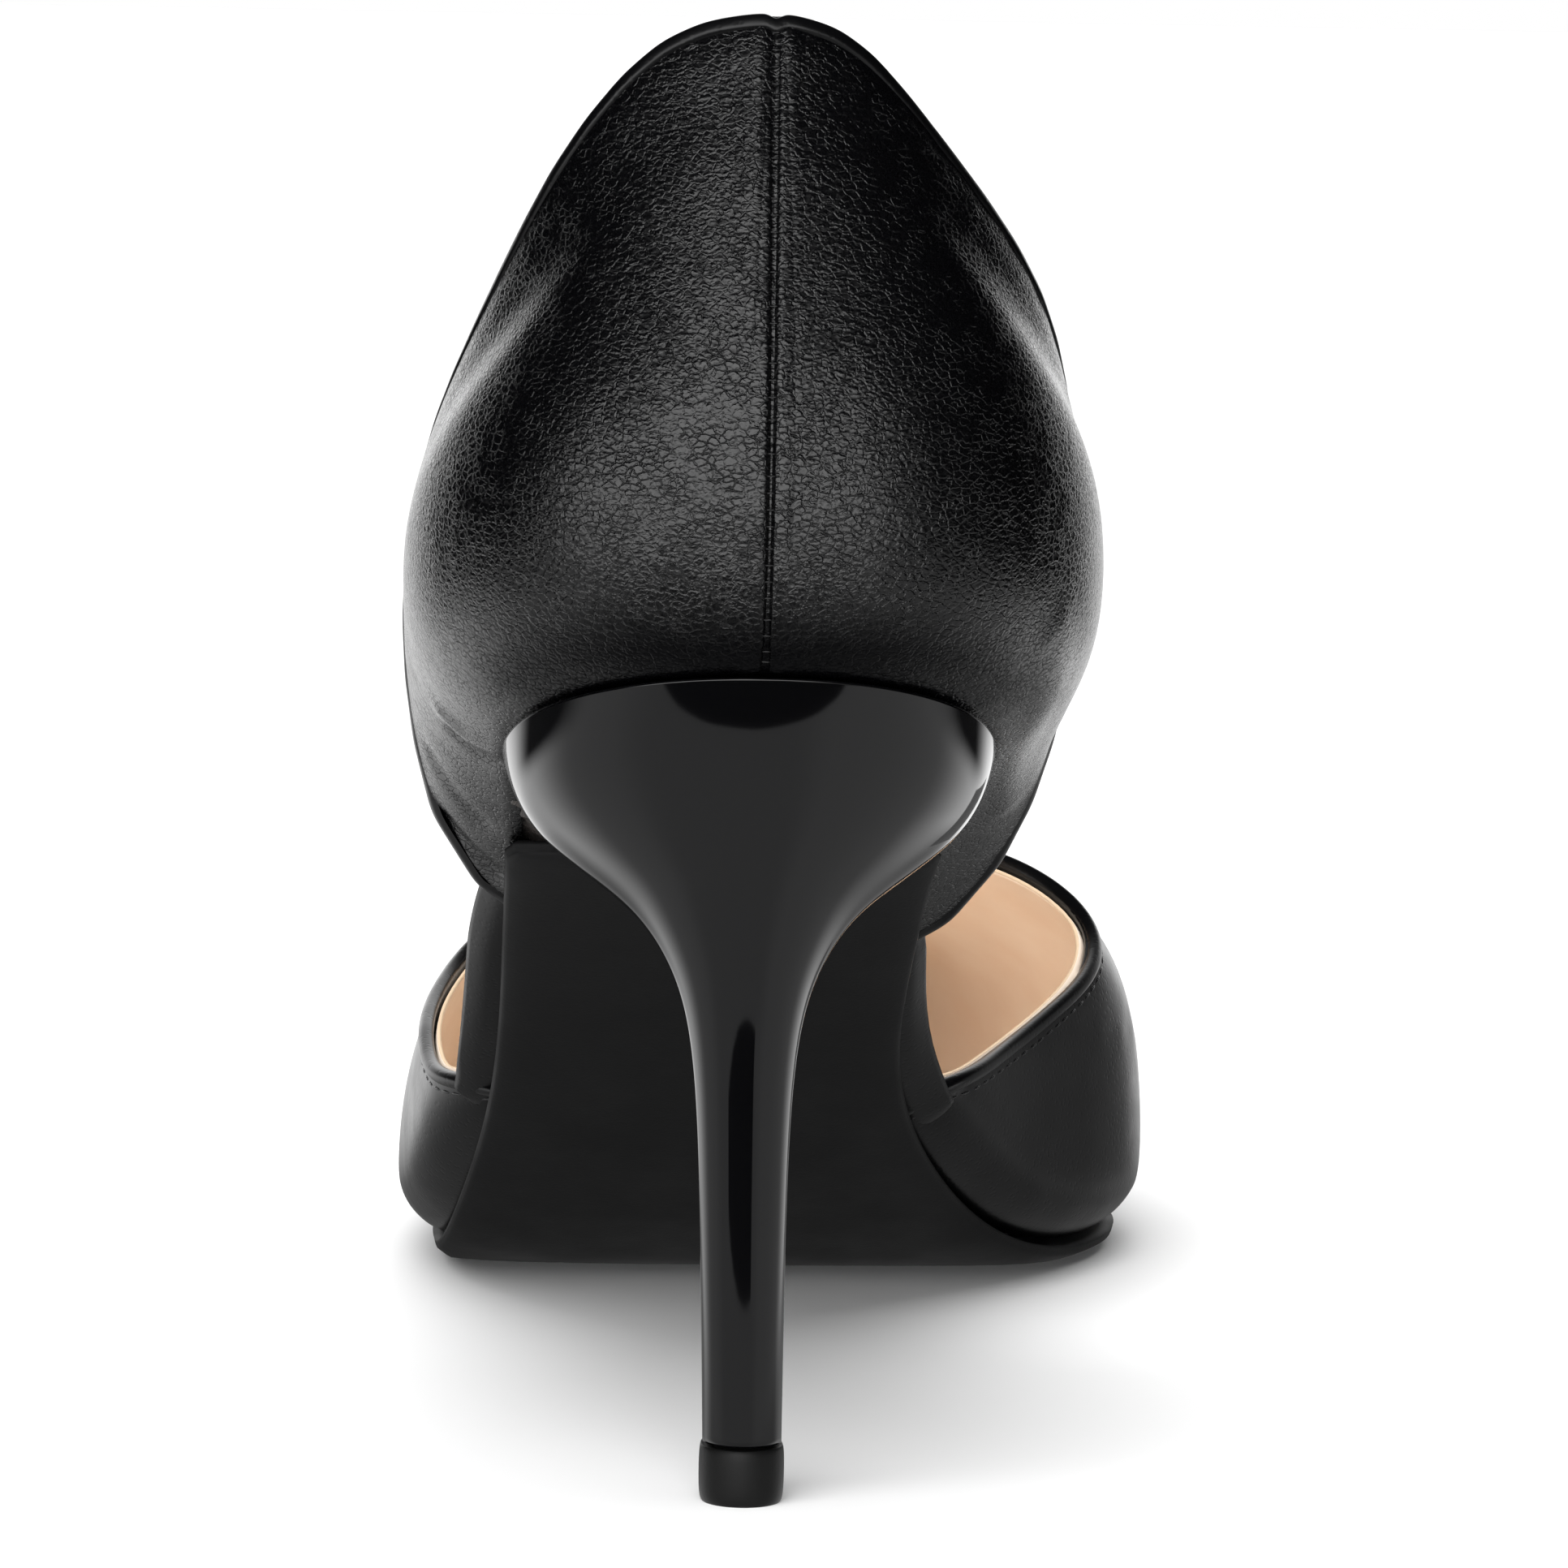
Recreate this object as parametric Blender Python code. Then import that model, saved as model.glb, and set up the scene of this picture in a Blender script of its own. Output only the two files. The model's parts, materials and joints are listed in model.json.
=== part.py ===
"""A left stiletto pump with open sides: vamp, quarter, insole, outsole, heel and heel tip.

Tables and sizes are in millimetres. x runs from the outer side of the foot to the inner side,
y from the back of the heel to the toe, and z up from the floor.
The foot line is the edge where the upper meets sole and heel, and a rise is a height above it.
"""

import math

import bmesh
import bpy
import numpy as np

for leftover in list(bpy.data.objects):
    bpy.data.objects.remove(leftover, do_unlink=True)

MM = 0.001
OUTER, INNER = -1, 1
NAMES = {OUTER: "outer", INNER: "inner"}

# Driving sizes
LEATHER = 1.6
OUTSOLE = 2.7
INSOLE = 3.4
GAP = 0.3
TREAD = OUTSOLE + GAP
TIP_HEIGHT = 5.3
HEEL_BREAST = 54.4
QUARTER_END = {OUTER: 67.5, INNER: 72.5}
ARCH_SWELL = {OUTER: 0.12, INNER: 0.3}
SHARP = math.radians(40)


def table(columns, *rows):
    """A short table as one array for each named column."""
    return dict(zip(columns.split(), np.array(rows, float).T))


# Side view of the foot line: heel seat, arch, flat tread and toe spring
BOTTOM = table(
    "y z",
    (4, 79.0),
    (12, 76.5),
    (22, 73.0),
    (40, 65.8),
    (60, 54.0),
    (80, 38.5),
    (100, 22.6),
    (115, 12.4),
    (127, 6.0),
    (139, 3.0),
    (168, 3.0),
    (185, 3.9),
    (210, 6.4),
    (234, 9.4),
)

# Plan view of the foot line: its outer and inner edge
FOOT = table(
    "y outer inner",
    (4, 0.0, 0.0),
    (8, -11.6, 11.6),
    (14, -17.0, 17.0),
    (22, -21.0, 21.0),
    (34, -22.9, 23.0),
    (46, -22.1, 21.2),
    (58, -21.6, 18.9),
    (72, -21.5, 17.9),
    (86, -21.6, 17.4),
    (98, -22.4, 19.2),
    (110, -24.0, 23.4),
    (122, -25.7, 29.4),
    (134, -26.9, 37.0),
    (146, -27.4, 42.8),
    (158, -26.6, 44.9),
    (170, -23.8, 43.6),
    (186, -16.9, 38.8),
    (202, -7.9, 32.7),
    (216, 1.2, 26.4),
    (227, 8.8, 20.9),
    (234, 15.2, 15.2),
)

# How far the quarter's wall stands outside the foot line, by its rise
COUNTER = table(
    "rise back outer inner",
    (0, 0.0, 0.0, 0.0),
    (4, 2.3, 4.9, 5.2),
    (10, 3.8, 8.2, 8.7),
    (18, 4.3, 9.4, 9.5),
    (26, 3.9, 8.3, 8.4),
    (36, 2.4, 4.3, 4.4),
    (46, 0.6, 0.6, 0.2),
    (54, -1.2, -2.0, -3.4),
    (62, -3.2, -4.6, -6.8),
)

# Top line of the quarter: its rise by the share of the way from back seam to front end
TOP_LINE = table(
    "share outer inner",
    (0.0, 59.0, 59.0),
    (0.06, 58.8, 58.6),
    (0.16, 56.4, 55.4),
    (0.3, 48.2, 46.8),
    (0.48, 36.8, 37.0),
    (0.68, 25.5, 25.4),
    (0.85, 14.8, 12.0),
    (1.0, 2.2, 2.2),
)

# Sections of the vamp: reach and rise of its widest point, rise and shift of its crest,
# and how full each side is
VAMP = table(
    "y bulge widest crest shift outer inner",
    (86, 6.0, 12.0, 66.0, 3.0, 2.2, 2.4),
    (110, 5.4, 9.0, 60.0, 3.5, 2.25, 2.6),
    (130, 4.7, 7.0, 53.0, 4.0, 2.25, 2.8),
    (150, 4.5, 6.0, 45.5, 4.0, 2.25, 2.9),
    (170, 4.2, 6.0, 36.5, 3.0, 2.25, 2.7),
    (190, 3.2, 6.0, 28.5, 2.0, 2.2, 2.5),
    (208, 2.4, 5.5, 22.0, 1.0, 2.1, 2.3),
    (222, 1.4, 4.5, 16.0, 0.4, 2.0, 2.1),
    (230, 0.6, 3.0, 10.0, 0.0, 2.0, 2.0),
    (234, 0.0, 0.0, 0.0, 0.0, 2.0, 2.0),
)

# Throat line of the vamp: where it starts, by the share of the girth from foot line to crest
THROAT = table(
    "share outer inner",
    (0.0, 95.7, 98.0),
    (0.12, 100.3, 100.6),
    (0.26, 109.5, 108.4),
    (0.36, 120.0, 120.3),
    (0.46, 133.0, 132.8),
    (0.54, 146.5, 145.5),
    (0.65, 154.5, 154.0),
    (0.8, 157.5, 157.3),
    (1.0, 158.5, 158.5),
)

# Bare edge of the insole between quarter and vamp: how far it stands outside the foot line
BARE_EDGE = table(
    "y outer inner",
    (66, 3.7, 2.0),
    (80, 4.1, 2.7),
    (98, 4.8, 5.4),
)

# Rings of the heel from the seat down: heights at back and front, places along the shoe,
# half width and middle
HEEL = table(
    "z_back z_front y_back y_mid y_front half middle",
    (78.7, 57.4, 3.7, 34.0, 54.2, 23.2, 0.0),
    (72.4, 57.2, 6.4, 30.0, 46.8, 21.9, -0.1),
    (66.6, 56.2, 9.0, 27.0, 40.4, 18.6, -0.2),
    (61.5, 54.8, 11.2, 25.0, 35.5, 14.6, -0.3),
    (57.0, 52.7, 13.0, 23.5, 31.9, 10.6, -0.4),
    (52.0, 49.6, 14.5, 22.3, 29.2, 7.6, -0.45),
    (46.0, 45.2, 15.8, 21.7, 27.4, 5.6, -0.45),
    (38.0, 38.0, 16.7, 21.4, 26.1, 4.55, -0.4),
    (28.0, 28.0, 17.1, 21.2, 25.4, 4.1, -0.3),
    (17.0, 17.0, 17.2, 21.1, 25.1, 3.85, -0.15),
    (5.6, 5.6, 17.3, 21.1, 24.9, 3.7, 0.0),
)


def spline(knots, values):
    """A curve with no kinks through the values, straight at its ends."""
    gaps = np.diff(knots)
    slopes = np.diff(values) / gaps
    system = np.eye(len(knots))
    pull = np.zeros(len(knots))
    for i in range(1, len(gaps)):
        system[i, i - 1 : i + 2] = gaps[i - 1], 2 * (gaps[i - 1] + gaps[i]), gaps[i]
        pull[i] = 6 * (slopes[i] - slopes[i - 1])
    bend = np.linalg.solve(system, pull)

    def at(place):
        place = np.clip(place, knots[0], knots[-1])
        i = np.clip(np.searchsorted(knots, place) - 1, 0, len(gaps) - 1)
        after, before, gap = place - knots[i], knots[i + 1] - place, gaps[i]
        curved = (bend[i] * before**3 + bend[i + 1] * after**3) / (6 * gap)
        left = (values[i] / gap - bend[i] * gap / 6) * before
        return curved + left + (values[i + 1] / gap - bend[i + 1] * gap / 6) * after

    return at


def columns(rows, key, knots=None):
    """One spline for each column of a table, over its key column."""
    knots = rows[key] if knots is None else knots
    return {name: spline(knots, values) for name, values in rows.items() if name != key}


BACK, TOE = FOOT["y"][0], FOOT["y"][-1]


def turn_of(y):
    """Angle from 0 at the back of the heel to pi at the toe, which keeps both ends round."""
    return np.arccos(1 - 2 * (y - BACK) / (TOE - BACK))


def y_of(turn):
    return BACK + (TOE - BACK) * (1 - np.cos(turn)) / 2


plan = columns(FOOT, "y", turn_of(FOOT["y"]))
counter = columns(COUNTER, "rise")
top_line = columns(TOP_LINE, "share")
throat = columns(THROAT, "share")
bare_edge = columns(BARE_EDGE, "y")
vamp_section = columns(VAMP, "y", turn_of(VAMP["y"]))
profile = spline(BOTTOM["y"], BOTTOM["z"])


def bottom_z(y):
    """Height of the foot line, level over the tread."""
    return np.maximum(profile(y), TREAD)


def upright(y):
    """Upright length of one millimetre that is measured square to the sloping bottom."""
    return np.sqrt(1 + (bottom_z(y + 0.5) - bottom_z(y - 0.5)) ** 2)


def smooth_step(value, start, end):
    share = np.clip((value - start) / (end - start), 0, 1)
    return share * share * (3 - 2 * share)


def foot_point(side, turn):
    return np.stack([plan[NAMES[side]](turn), y_of(turn)], -1)


def foot_edge(side, turn):
    """Points of the foot line and the level direction that leads straight out of the shoe at each."""
    turn = np.asarray(turn, float)
    step = 0.002
    ahead = foot_point(side, np.minimum(turn + step, np.pi)) - foot_point(side, np.maximum(turn - step, 0))
    ahead /= np.linalg.norm(ahead, axis=-1, keepdims=True)
    outward = side * np.stack([ahead[..., 1], -ahead[..., 0]], -1)
    outward[turn <= 0] = 0, -1
    outward[turn >= np.pi] = 0, 1
    return foot_point(side, turn), outward


def low_wall(turn, rise):
    """How far the vamp's wall stands outside the foot line below its widest point."""
    bulge, widest = vamp_section["bulge"](turn), vamp_section["widest"](turn)
    lean = np.arccos(math.cos(math.pi / 6) * np.clip(1 - rise / widest, 0, 1))
    return bulge * (2 * np.sin(lean) - 1)


def counter_wall(side, y, outward, rise):
    """How far the quarter's wall stands outside the foot line, which the arch draws in."""
    back = counter["back"](rise)
    flank = counter[NAMES[side]](rise) * (1 + ARCH_SWELL[side] * smooth_step(y, 28, 52))
    return back + (flank - back) * np.abs(outward[..., 0]) ** 1.5


def make_object(name, vertices, faces, finish):
    """A closed solid with its own material, its faces turned outward."""
    mesh = bpy.data.meshes.new(name)
    work = bmesh.new()
    corners = [work.verts.new(np.asarray(vertex) * MM) for vertex in vertices]
    for face in faces:
        work.faces.new([corners[i] for i in face])
    bmesh.ops.remove_doubles(work, verts=work.verts, dist=1e-7)
    bmesh.ops.recalc_face_normals(work, faces=work.faces)
    work.to_mesh(mesh)
    work.free()
    mesh.shade_smooth()
    mesh.set_sharp_from_angle(angle=SHARP)
    part = bpy.data.objects.new(name, mesh)
    bpy.context.collection.objects.link(part)
    colour, roughness, coat = finish
    material = bpy.data.materials.new(name)
    material.use_nodes = True
    shader = material.node_tree.nodes["Principled BSDF"]
    shader.inputs["Base Color"].default_value = (*colour, 1)
    shader.inputs["Roughness"].default_value = roughness
    shader.inputs["Coat Weight"].default_value = coat
    mesh.materials.append(material)
    return part


def wall_object(name, outer, feet, finish):
    """A leather wall from its outer face, a grid of points, with feet as the grid lines on the sole."""
    along = np.gradient(outer, axis=0)
    across = np.gradient(outer, axis=1)
    normal = np.cross(along, across)
    length = np.linalg.norm(normal, axis=-1, keepdims=True)
    normal = normal / np.maximum(length, 1e-9)
    inner = outer - LEATHER * normal
    for line in feet:
        level = normal[line][:, :2]
        reach = np.maximum(np.linalg.norm(level, axis=-1, keepdims=True), 0.3)
        inner[line][:, :2] = outer[line][:, :2] - LEATHER * level / reach**2
        inner[line][:, 2] = bottom_z(inner[line][:, 1])
    closed = length[..., 0] < 1e-6
    inner[closed] = outer[closed] - (0, 1.3 * LEATHER, 0)
    inner[closed, 2] = bottom_z(inner[closed, 1])
    rows, count = outer.shape[:2]
    place = np.arange(2 * rows * count).reshape(2, rows, count)
    faces = []
    for i in range(rows - 1):
        for j in range(count - 1):
            faces.append(place[0, [i, i + 1, i + 1, i], [j, j, j + 1, j + 1]])
            faces.append(place[1, [i, i, i + 1, i + 1], [j, j + 1, j + 1, j]])
    rim = [(i, 0) for i in range(rows)] + [(rows - 1, j) for j in range(1, count)]
    rim += [(i, count - 1) for i in range(rows - 2, -1, -1)] + [(0, j) for j in range(count - 2, 0, -1)]
    for (i, j), (k, m) in zip(rim, rim[1:] + rim[:1]):
        faces.append([place[0, i, j], place[1, i, j], place[1, k, m], place[0, k, m]])
    return make_object(name, np.concatenate([outer, inner]).reshape(-1, 3), faces, finish)


def loft_object(name, rings, capped, finish):
    """A solid through closed rings of points, capped across at the named ends."""
    count = rings.shape[1]
    place = np.arange(rings.shape[0] * count).reshape(-1, count)
    faces = []
    for i in range(len(rings) - 1):
        for j in range(count):
            k = (j + 1) % count
            faces.append([place[i, j], place[i, k], place[i + 1, k], place[i + 1, j]])
    for end in capped:
        for j in range(count // 2):
            corners = [j, j + 1, count - j - 1, -j % count]
            faces.append([place[end, k] for k in dict.fromkeys(corners)])
    return make_object(name, rings.reshape(-1, 3), faces, finish)


# Finishes: colour, roughness and clear coat
BLACK_LEATHER = ((0.012, 0.012, 0.013), 0.42, 0.1)
BLACK_SOLE = ((0.016, 0.016, 0.017), 0.62, 0.0)
BLACK_LACQUER = ((0.006, 0.006, 0.007), 0.16, 0.8)
BLACK_RUBBER = ((0.018, 0.018, 0.018), 0.7, 0.0)


# Quarter: two halves joined by a grooved back seam
SEAM_PLACES = np.array([0.0, 0.5, 1.3, 2.4])


def quarter_half(side):
    """Outer face of one half, from the back seam to the front end."""
    turns = np.linspace(0, turn_of(QUARTER_END[side]), 500)
    steps = np.linalg.norm(np.diff(foot_point(side, turns), axis=0), axis=1)
    length = np.concatenate([[0], np.cumsum(steps)])
    places = np.concatenate([SEAM_PLACES, np.linspace(SEAM_PLACES[-1], length[-1], 19)[1:]])
    points, outward = foot_edge(side, np.interp(places, length, turns))
    edge = top_line[NAMES[side]](places / length[-1])
    face = np.zeros((len(places), 15, 3))
    for row, share in enumerate(np.linspace(0, 1, 15) ** 1.25):
        rise = edge * share
        seam = 0.2 * np.exp(-(((places - 1.4) / 0.8) ** 2)) - 0.45 * np.exp(-((places / 0.5) ** 2))
        reach = counter_wall(side, points[:, 1], outward, rise) + seam
        face[:, row, :2] = points + outward * reach[:, None]
        face[:, row, 2] = bottom_z(points[:, 1]) + rise
    return face


quarter_face = np.concatenate([quarter_half(OUTER)[:0:-1], quarter_half(INNER)])
quarter = wall_object("quarter", quarter_face, [np.s_[:, 0]], BLACK_LEATHER)


# Vamp: arched sections from the throat line to the toe
LOW_SHARE = 0.25
SHARES = np.concatenate([np.arange(0, 0.6, 0.05), np.linspace(0.6, 1, 6)])


def vamp_surface(side, share, turn):
    """Outer face of the whole arch at one share of the girth, from foot line to crest."""
    points, outward = foot_edge(side, turn)
    bulge, widest = vamp_section["bulge"](turn), vamp_section["widest"](turn)
    if share <= LOW_SHARE:
        lean = math.pi / 6 + math.pi / 3 * share / LOW_SHARE
        flat = points + outward * (bulge * (2 * math.sin(lean) - 1))[:, None]
        rise = widest * (1 - math.cos(lean) / math.cos(math.pi / 6))
    else:
        arch = math.pi / 2 * (share - LOW_SHARE) / (1 - LOW_SHARE)
        across, above = max(math.cos(arch), 0), math.sin(arch)
        fullness, crest = vamp_section[NAMES[side]](turn), vamp_section["crest"](turn)
        size = (across**fullness + above**fullness) ** (-1 / fullness)
        ridge = (foot_point(OUTER, turn) + foot_point(INNER, turn)) / 2
        ridge[:, 0] += vamp_section["shift"](turn)
        flat = ridge + (points + outward * bulge[:, None] - ridge) * (across * size)[:, None]
        rise = widest + (crest - widest) * above * size
    height = bottom_z(y_of(turn)) + rise
    return np.concatenate([flat, height[:, None]], -1)


def vamp_line(side, share):
    """One line of the vamp's outer face from the throat to the toe."""
    start = turn_of(throat[NAMES[side]](share))
    return vamp_surface(side, share, np.append(np.linspace(start, np.pi - 0.2, 25), np.pi))


vamp_face = [vamp_line(OUTER, share) for share in SHARES]
vamp_face += [vamp_line(INNER, share) for share in SHARES[-2::-1]]
vamp = wall_object("vamp", np.array(vamp_face), [np.s_[0, :], np.s_[-1, :]], BLACK_LEATHER)


def section_rings(turn, edge):
    """Rings of a flat sole, one at each place along the shoe, from the reach and rise of its two edges."""
    halves = []
    for side in (OUTER, INNER):
        points, outward = foot_edge(side, turn)
        reach, rise = edge(side, turn, outward)
        flat = points + outward * reach[..., None]
        height = np.maximum(bottom_z(flat[..., 1]) + rise, 0)
        halves.append(np.concatenate([flat, height[..., None]], -1))
    return np.concatenate([halves[0], halves[1][::-1]]).swapaxes(0, 1)


# Insole: inside the upper, and flush with its outer face where the sides are open
INSOLE_TOE = 221.0


def bare_stretch(side):
    """Where the insole's edge swells out past the quarter, and where it sinks in before the vamp."""
    rear, front = QUARTER_END[side], throat[NAMES[side]](0.0)
    return rear + 1.5, rear + 4.5, front - 4.0, front - 0.6


def insole_edge(side, turn, outward):
    y = y_of(turn)
    rise = np.array([[0.0], [0.4], [0.8], [1.0]]) * INSOLE * upright(y)
    inside = smooth_step(y, 70, 94)

    def wall(height):
        return (1 - inside) * counter_wall(side, y, outward, height) + inside * low_wall(turn, height)

    lean = upright(y) * (wall(rise + 0.2) - wall(rise)) / 0.2
    covered = (LEATHER + 1.5 * GAP) * np.sqrt(1 + lean**2) + 0.5 * np.abs(outward[:, 1]) + 0.3 * inside
    start, full, fading, end = bare_stretch(side)
    bare = smooth_step(y, start, full) * (1 - smooth_step(y, fading, end))
    hidden = wall(rise) - covered - np.array([[0.0], [0.0], [0.1], [0.6]])
    rounded = bare_edge[NAMES[side]](y) * np.array([[0.0], [0.65], [1.0], [0.88]])
    return hidden * (1 - bare) + rounded * bare, rise


insole_turns = list(np.linspace(0, turn_of(INSOLE_TOE), 45))
for side in (OUTER, INNER):
    insole_turns += [turn_of(y) for y in bare_stretch(side)]
insole_turns = np.sort(insole_turns)
insole = loft_object("insole", section_rings(insole_turns, insole_edge), [-1], BLACK_LEATHER)


# Outsole: thin over the arch, full under the tread
def outsole_edge(side, turn, outward):
    y = y_of(turn)
    thick = 2.0 + (OUTSOLE - 2.0) * smooth_step(y, 100, 142)
    depth = np.array([[1.0], [0.8], [0.45], [0.0]]) * thick
    reach = np.array([[-0.9], [-0.9], [0.4], [0.7]]) + 0 * depth
    reach[0] -= 6.0 * (1 - smooth_step(y, 205, 232))
    if side == INNER:
        reach[2:] += 1.1 * smooth_step(y, 132, 152) * (1 - smooth_step(y, 160, 200))
    return reach, -(GAP + depth) * upright(y)


outsole_turns = np.linspace(turn_of(HEEL_BREAST + 0.6), np.pi, 41)
outsole = loft_object("outsole", section_rings(outsole_turns, outsole_edge), [0], BLACK_SOLE)


# Heel: rings from the sloping seat down to a thin stem
def heel_ring(level, rows, count):
    """One ring of the heel, round at the back and flatter at the breast."""
    size = {name: curve(level) for name, curve in rows.items()}
    angle = np.arange(count) * 2 * math.pi / count
    behind = np.cos(angle) > 0
    square = np.where(behind, 2.0, 2.0 + 1.2 * smooth_step(level, 1.0, 6.0))
    x = size["middle"] + size["half"] * np.sign(np.sin(angle)) * np.abs(np.sin(angle)) ** (2 / square)
    along = np.abs(np.cos(angle)) ** (2 / square)
    reach = np.where(behind, size["y_back"] - size["y_mid"], size["y_front"] - size["y_mid"])
    y = size["y_mid"] + reach * along
    share = (y - size["y_back"]) / (size["y_front"] - size["y_back"])
    z = size["z_back"] + (size["z_front"] - size["z_back"]) * share
    seat_y = HEEL["y_back"][0] + share * (HEEL["y_front"][0] - HEEL["y_back"][0])
    seat_z = HEEL["z_back"][0] + share * (HEEL["z_front"][0] - HEEL["z_back"][0])
    bow = bottom_z(seat_y) - GAP * upright(seat_y) - seat_z
    return np.stack([x, y, z + bow * (1 - smooth_step(level, 0.0, 2.0))], -1)


HEEL["level"] = np.arange(len(HEEL["half"]), dtype=float)
heel_rows = columns(HEEL, "level")
heel_rings = np.array([heel_ring(level, heel_rows, 28) for level in np.linspace(0, HEEL["level"][-1], 29)])
heel = loft_object("heel", heel_rings, [0, -1], BLACK_LACQUER)


# Heel tip: a block a little wider than the stem, flat on the floor
TIP = table("z grow", (0.0, 0.0), (0.5, 0.3), (TIP_HEIGHT - 0.4, 0.3), (TIP_HEIGHT, 0.1))


def tip_ring(height, grow):
    ring = heel_ring(HEEL["level"][-1], heel_rows, 28)
    centre = np.array([0.0, 21.1])
    away = ring[:, :2] - centre
    ring[:, :2] += away / np.linalg.norm(away, axis=1, keepdims=True) * grow
    ring[:, 2] = height
    return ring


tip_rings = np.array([tip_ring(height, grow) for height, grow in zip(TIP["z"], TIP["grow"])])
heel_tip = loft_object("heel_tip", tip_rings, [0, -1], BLACK_RUBBER)


# Origin at the middle of the shoe's footprint, on the floor
parts = [quarter, vamp, insole, outsole, heel, heel_tip]
corners = np.array([vertex.co for part in parts for vertex in part.data.vertices])
middle = (corners.min(axis=0) + corners.max(axis=0)) / 2
for part in parts:
    for vertex in part.data.vertices:
        vertex.co.x -= middle[0]
        vertex.co.y -= middle[1]
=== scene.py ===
"""A left stiletto pump with open sides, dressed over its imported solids.

The shoe stands on the floor. +Y runs from heel to toe, +X to the inner side of the foot, +Z up.
"""

import json
import math

import bmesh
import bpy
import numpy as np
from mathutils import Matrix, Vector, kdtree

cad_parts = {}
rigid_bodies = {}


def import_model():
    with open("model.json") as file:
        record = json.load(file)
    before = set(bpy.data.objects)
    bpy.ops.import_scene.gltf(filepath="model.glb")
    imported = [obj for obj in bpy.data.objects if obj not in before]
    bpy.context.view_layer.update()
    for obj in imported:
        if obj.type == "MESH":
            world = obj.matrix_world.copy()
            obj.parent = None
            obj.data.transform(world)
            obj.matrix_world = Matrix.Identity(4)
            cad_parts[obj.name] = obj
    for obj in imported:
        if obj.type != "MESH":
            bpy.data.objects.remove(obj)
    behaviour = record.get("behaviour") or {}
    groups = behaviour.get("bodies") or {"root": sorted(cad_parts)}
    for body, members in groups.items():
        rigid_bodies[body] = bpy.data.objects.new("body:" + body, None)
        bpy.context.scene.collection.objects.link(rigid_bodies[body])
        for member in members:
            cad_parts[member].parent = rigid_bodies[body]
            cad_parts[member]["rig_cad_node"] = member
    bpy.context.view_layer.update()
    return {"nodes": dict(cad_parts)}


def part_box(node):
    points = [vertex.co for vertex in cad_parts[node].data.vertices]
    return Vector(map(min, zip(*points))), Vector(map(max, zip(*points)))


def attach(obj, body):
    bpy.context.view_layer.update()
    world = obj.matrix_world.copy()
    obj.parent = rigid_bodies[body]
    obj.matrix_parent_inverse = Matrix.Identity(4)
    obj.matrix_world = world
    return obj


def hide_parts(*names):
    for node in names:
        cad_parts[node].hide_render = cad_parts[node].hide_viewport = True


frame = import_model()

# Insole
# A stiff board under the foot, wrapped in thin black leather that shows along the open sides.
# Vamp and quarter are lasted round it and glued to its underside, where the leather dries rough.
MM = 0.001
WELD = 0.005 * MM


def work_on(piece):
    """Make a piece the only one that is selected."""
    bpy.ops.object.select_all(action="DESELECT")
    piece.select_set(True)
    bpy.context.view_layer.objects.active = piece


def work_copy(node, piece):
    """A copy of a solid as one welded mesh of quads, ready to be worked on."""
    work_on(frame["nodes"][node])
    bpy.ops.object.duplicate()
    copy = bpy.context.active_object
    copy.name = piece
    copy.data.name = piece
    copy.parent = None
    del copy["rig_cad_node"]
    copy.data.materials.clear()
    bpy.ops.mesh.customdata_custom_splitnormals_clear()
    bpy.ops.object.mode_set(mode="EDIT")
    bpy.ops.mesh.select_all(action="SELECT")
    bpy.ops.mesh.remove_doubles(threshold=WELD)
    bpy.ops.mesh.tris_convert_to_quads(face_threshold=1.05, shape_threshold=1.4, topology_influence=1.0)
    bpy.ops.object.mode_set(mode="OBJECT")
    bpy.ops.object.shade_smooth()
    return copy


def hold_edges(piece, angle, share):
    """Keep the edges that turn by more than an angle crisp when the mesh is rounded."""
    work_on(piece)
    bpy.ops.object.mode_set(mode="EDIT")
    bpy.ops.mesh.select_mode(type="EDGE")
    bpy.ops.mesh.select_all(action="DESELECT")
    bpy.ops.mesh.edges_select_sharp(sharpness=math.radians(angle))
    bpy.ops.transform.edge_crease(value=share)
    bpy.ops.mesh.select_mode(type="FACE")
    bpy.ops.object.mode_set(mode="OBJECT")


def round_off(piece, levels):
    """Round the mesh with a subdivision surface that is then applied."""
    work_on(piece)
    rounding = piece.modifiers.new("rounding", "SUBSURF")
    rounding.levels = levels
    rounding.render_levels = levels
    bpy.ops.object.modifier_apply(modifier=rounding.name)


def linear(hex_colour):
    """Linear colour with alpha from an sRGB hex value."""
    shares = [int(hex_colour[i : i + 2], 16) / 255 for i in (1, 3, 5)]
    return (*[c / 12.92 if c <= 0.04045 else ((c + 0.055) / 1.055) ** 2.4 for c in shares], 1.0)


def add_node(tree, kind, sockets, **settings):
    """Add a node, set its properties, and set or link its sockets."""
    node = tree.nodes.new(kind)
    for name, value in settings.items():
        setattr(node, name, value)
    for name, value in sockets.items():
        if isinstance(value, bpy.types.NodeSocket):
            tree.links.new(value, node.inputs[name])
        else:
            node.inputs[name].default_value = value
    return node


def new_finish(name, colour, roughness, **sockets):
    """A material, its nodes and its shader, and the piece's own coordinates."""
    material = bpy.data.materials.new(name)
    material.use_nodes = True
    tree = material.node_tree
    shader = tree.nodes["Principled BSDF"]
    shader.inputs["Base Color"].default_value = linear(colour)
    shader.inputs["Roughness"].default_value = roughness
    for socket, value in sockets.items():
        shader.inputs[socket.replace("_", " ")].default_value = value
    place = add_node(tree, "ShaderNodeTexCoord", {})
    return material, tree, shader, place.outputs["Object"]


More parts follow.
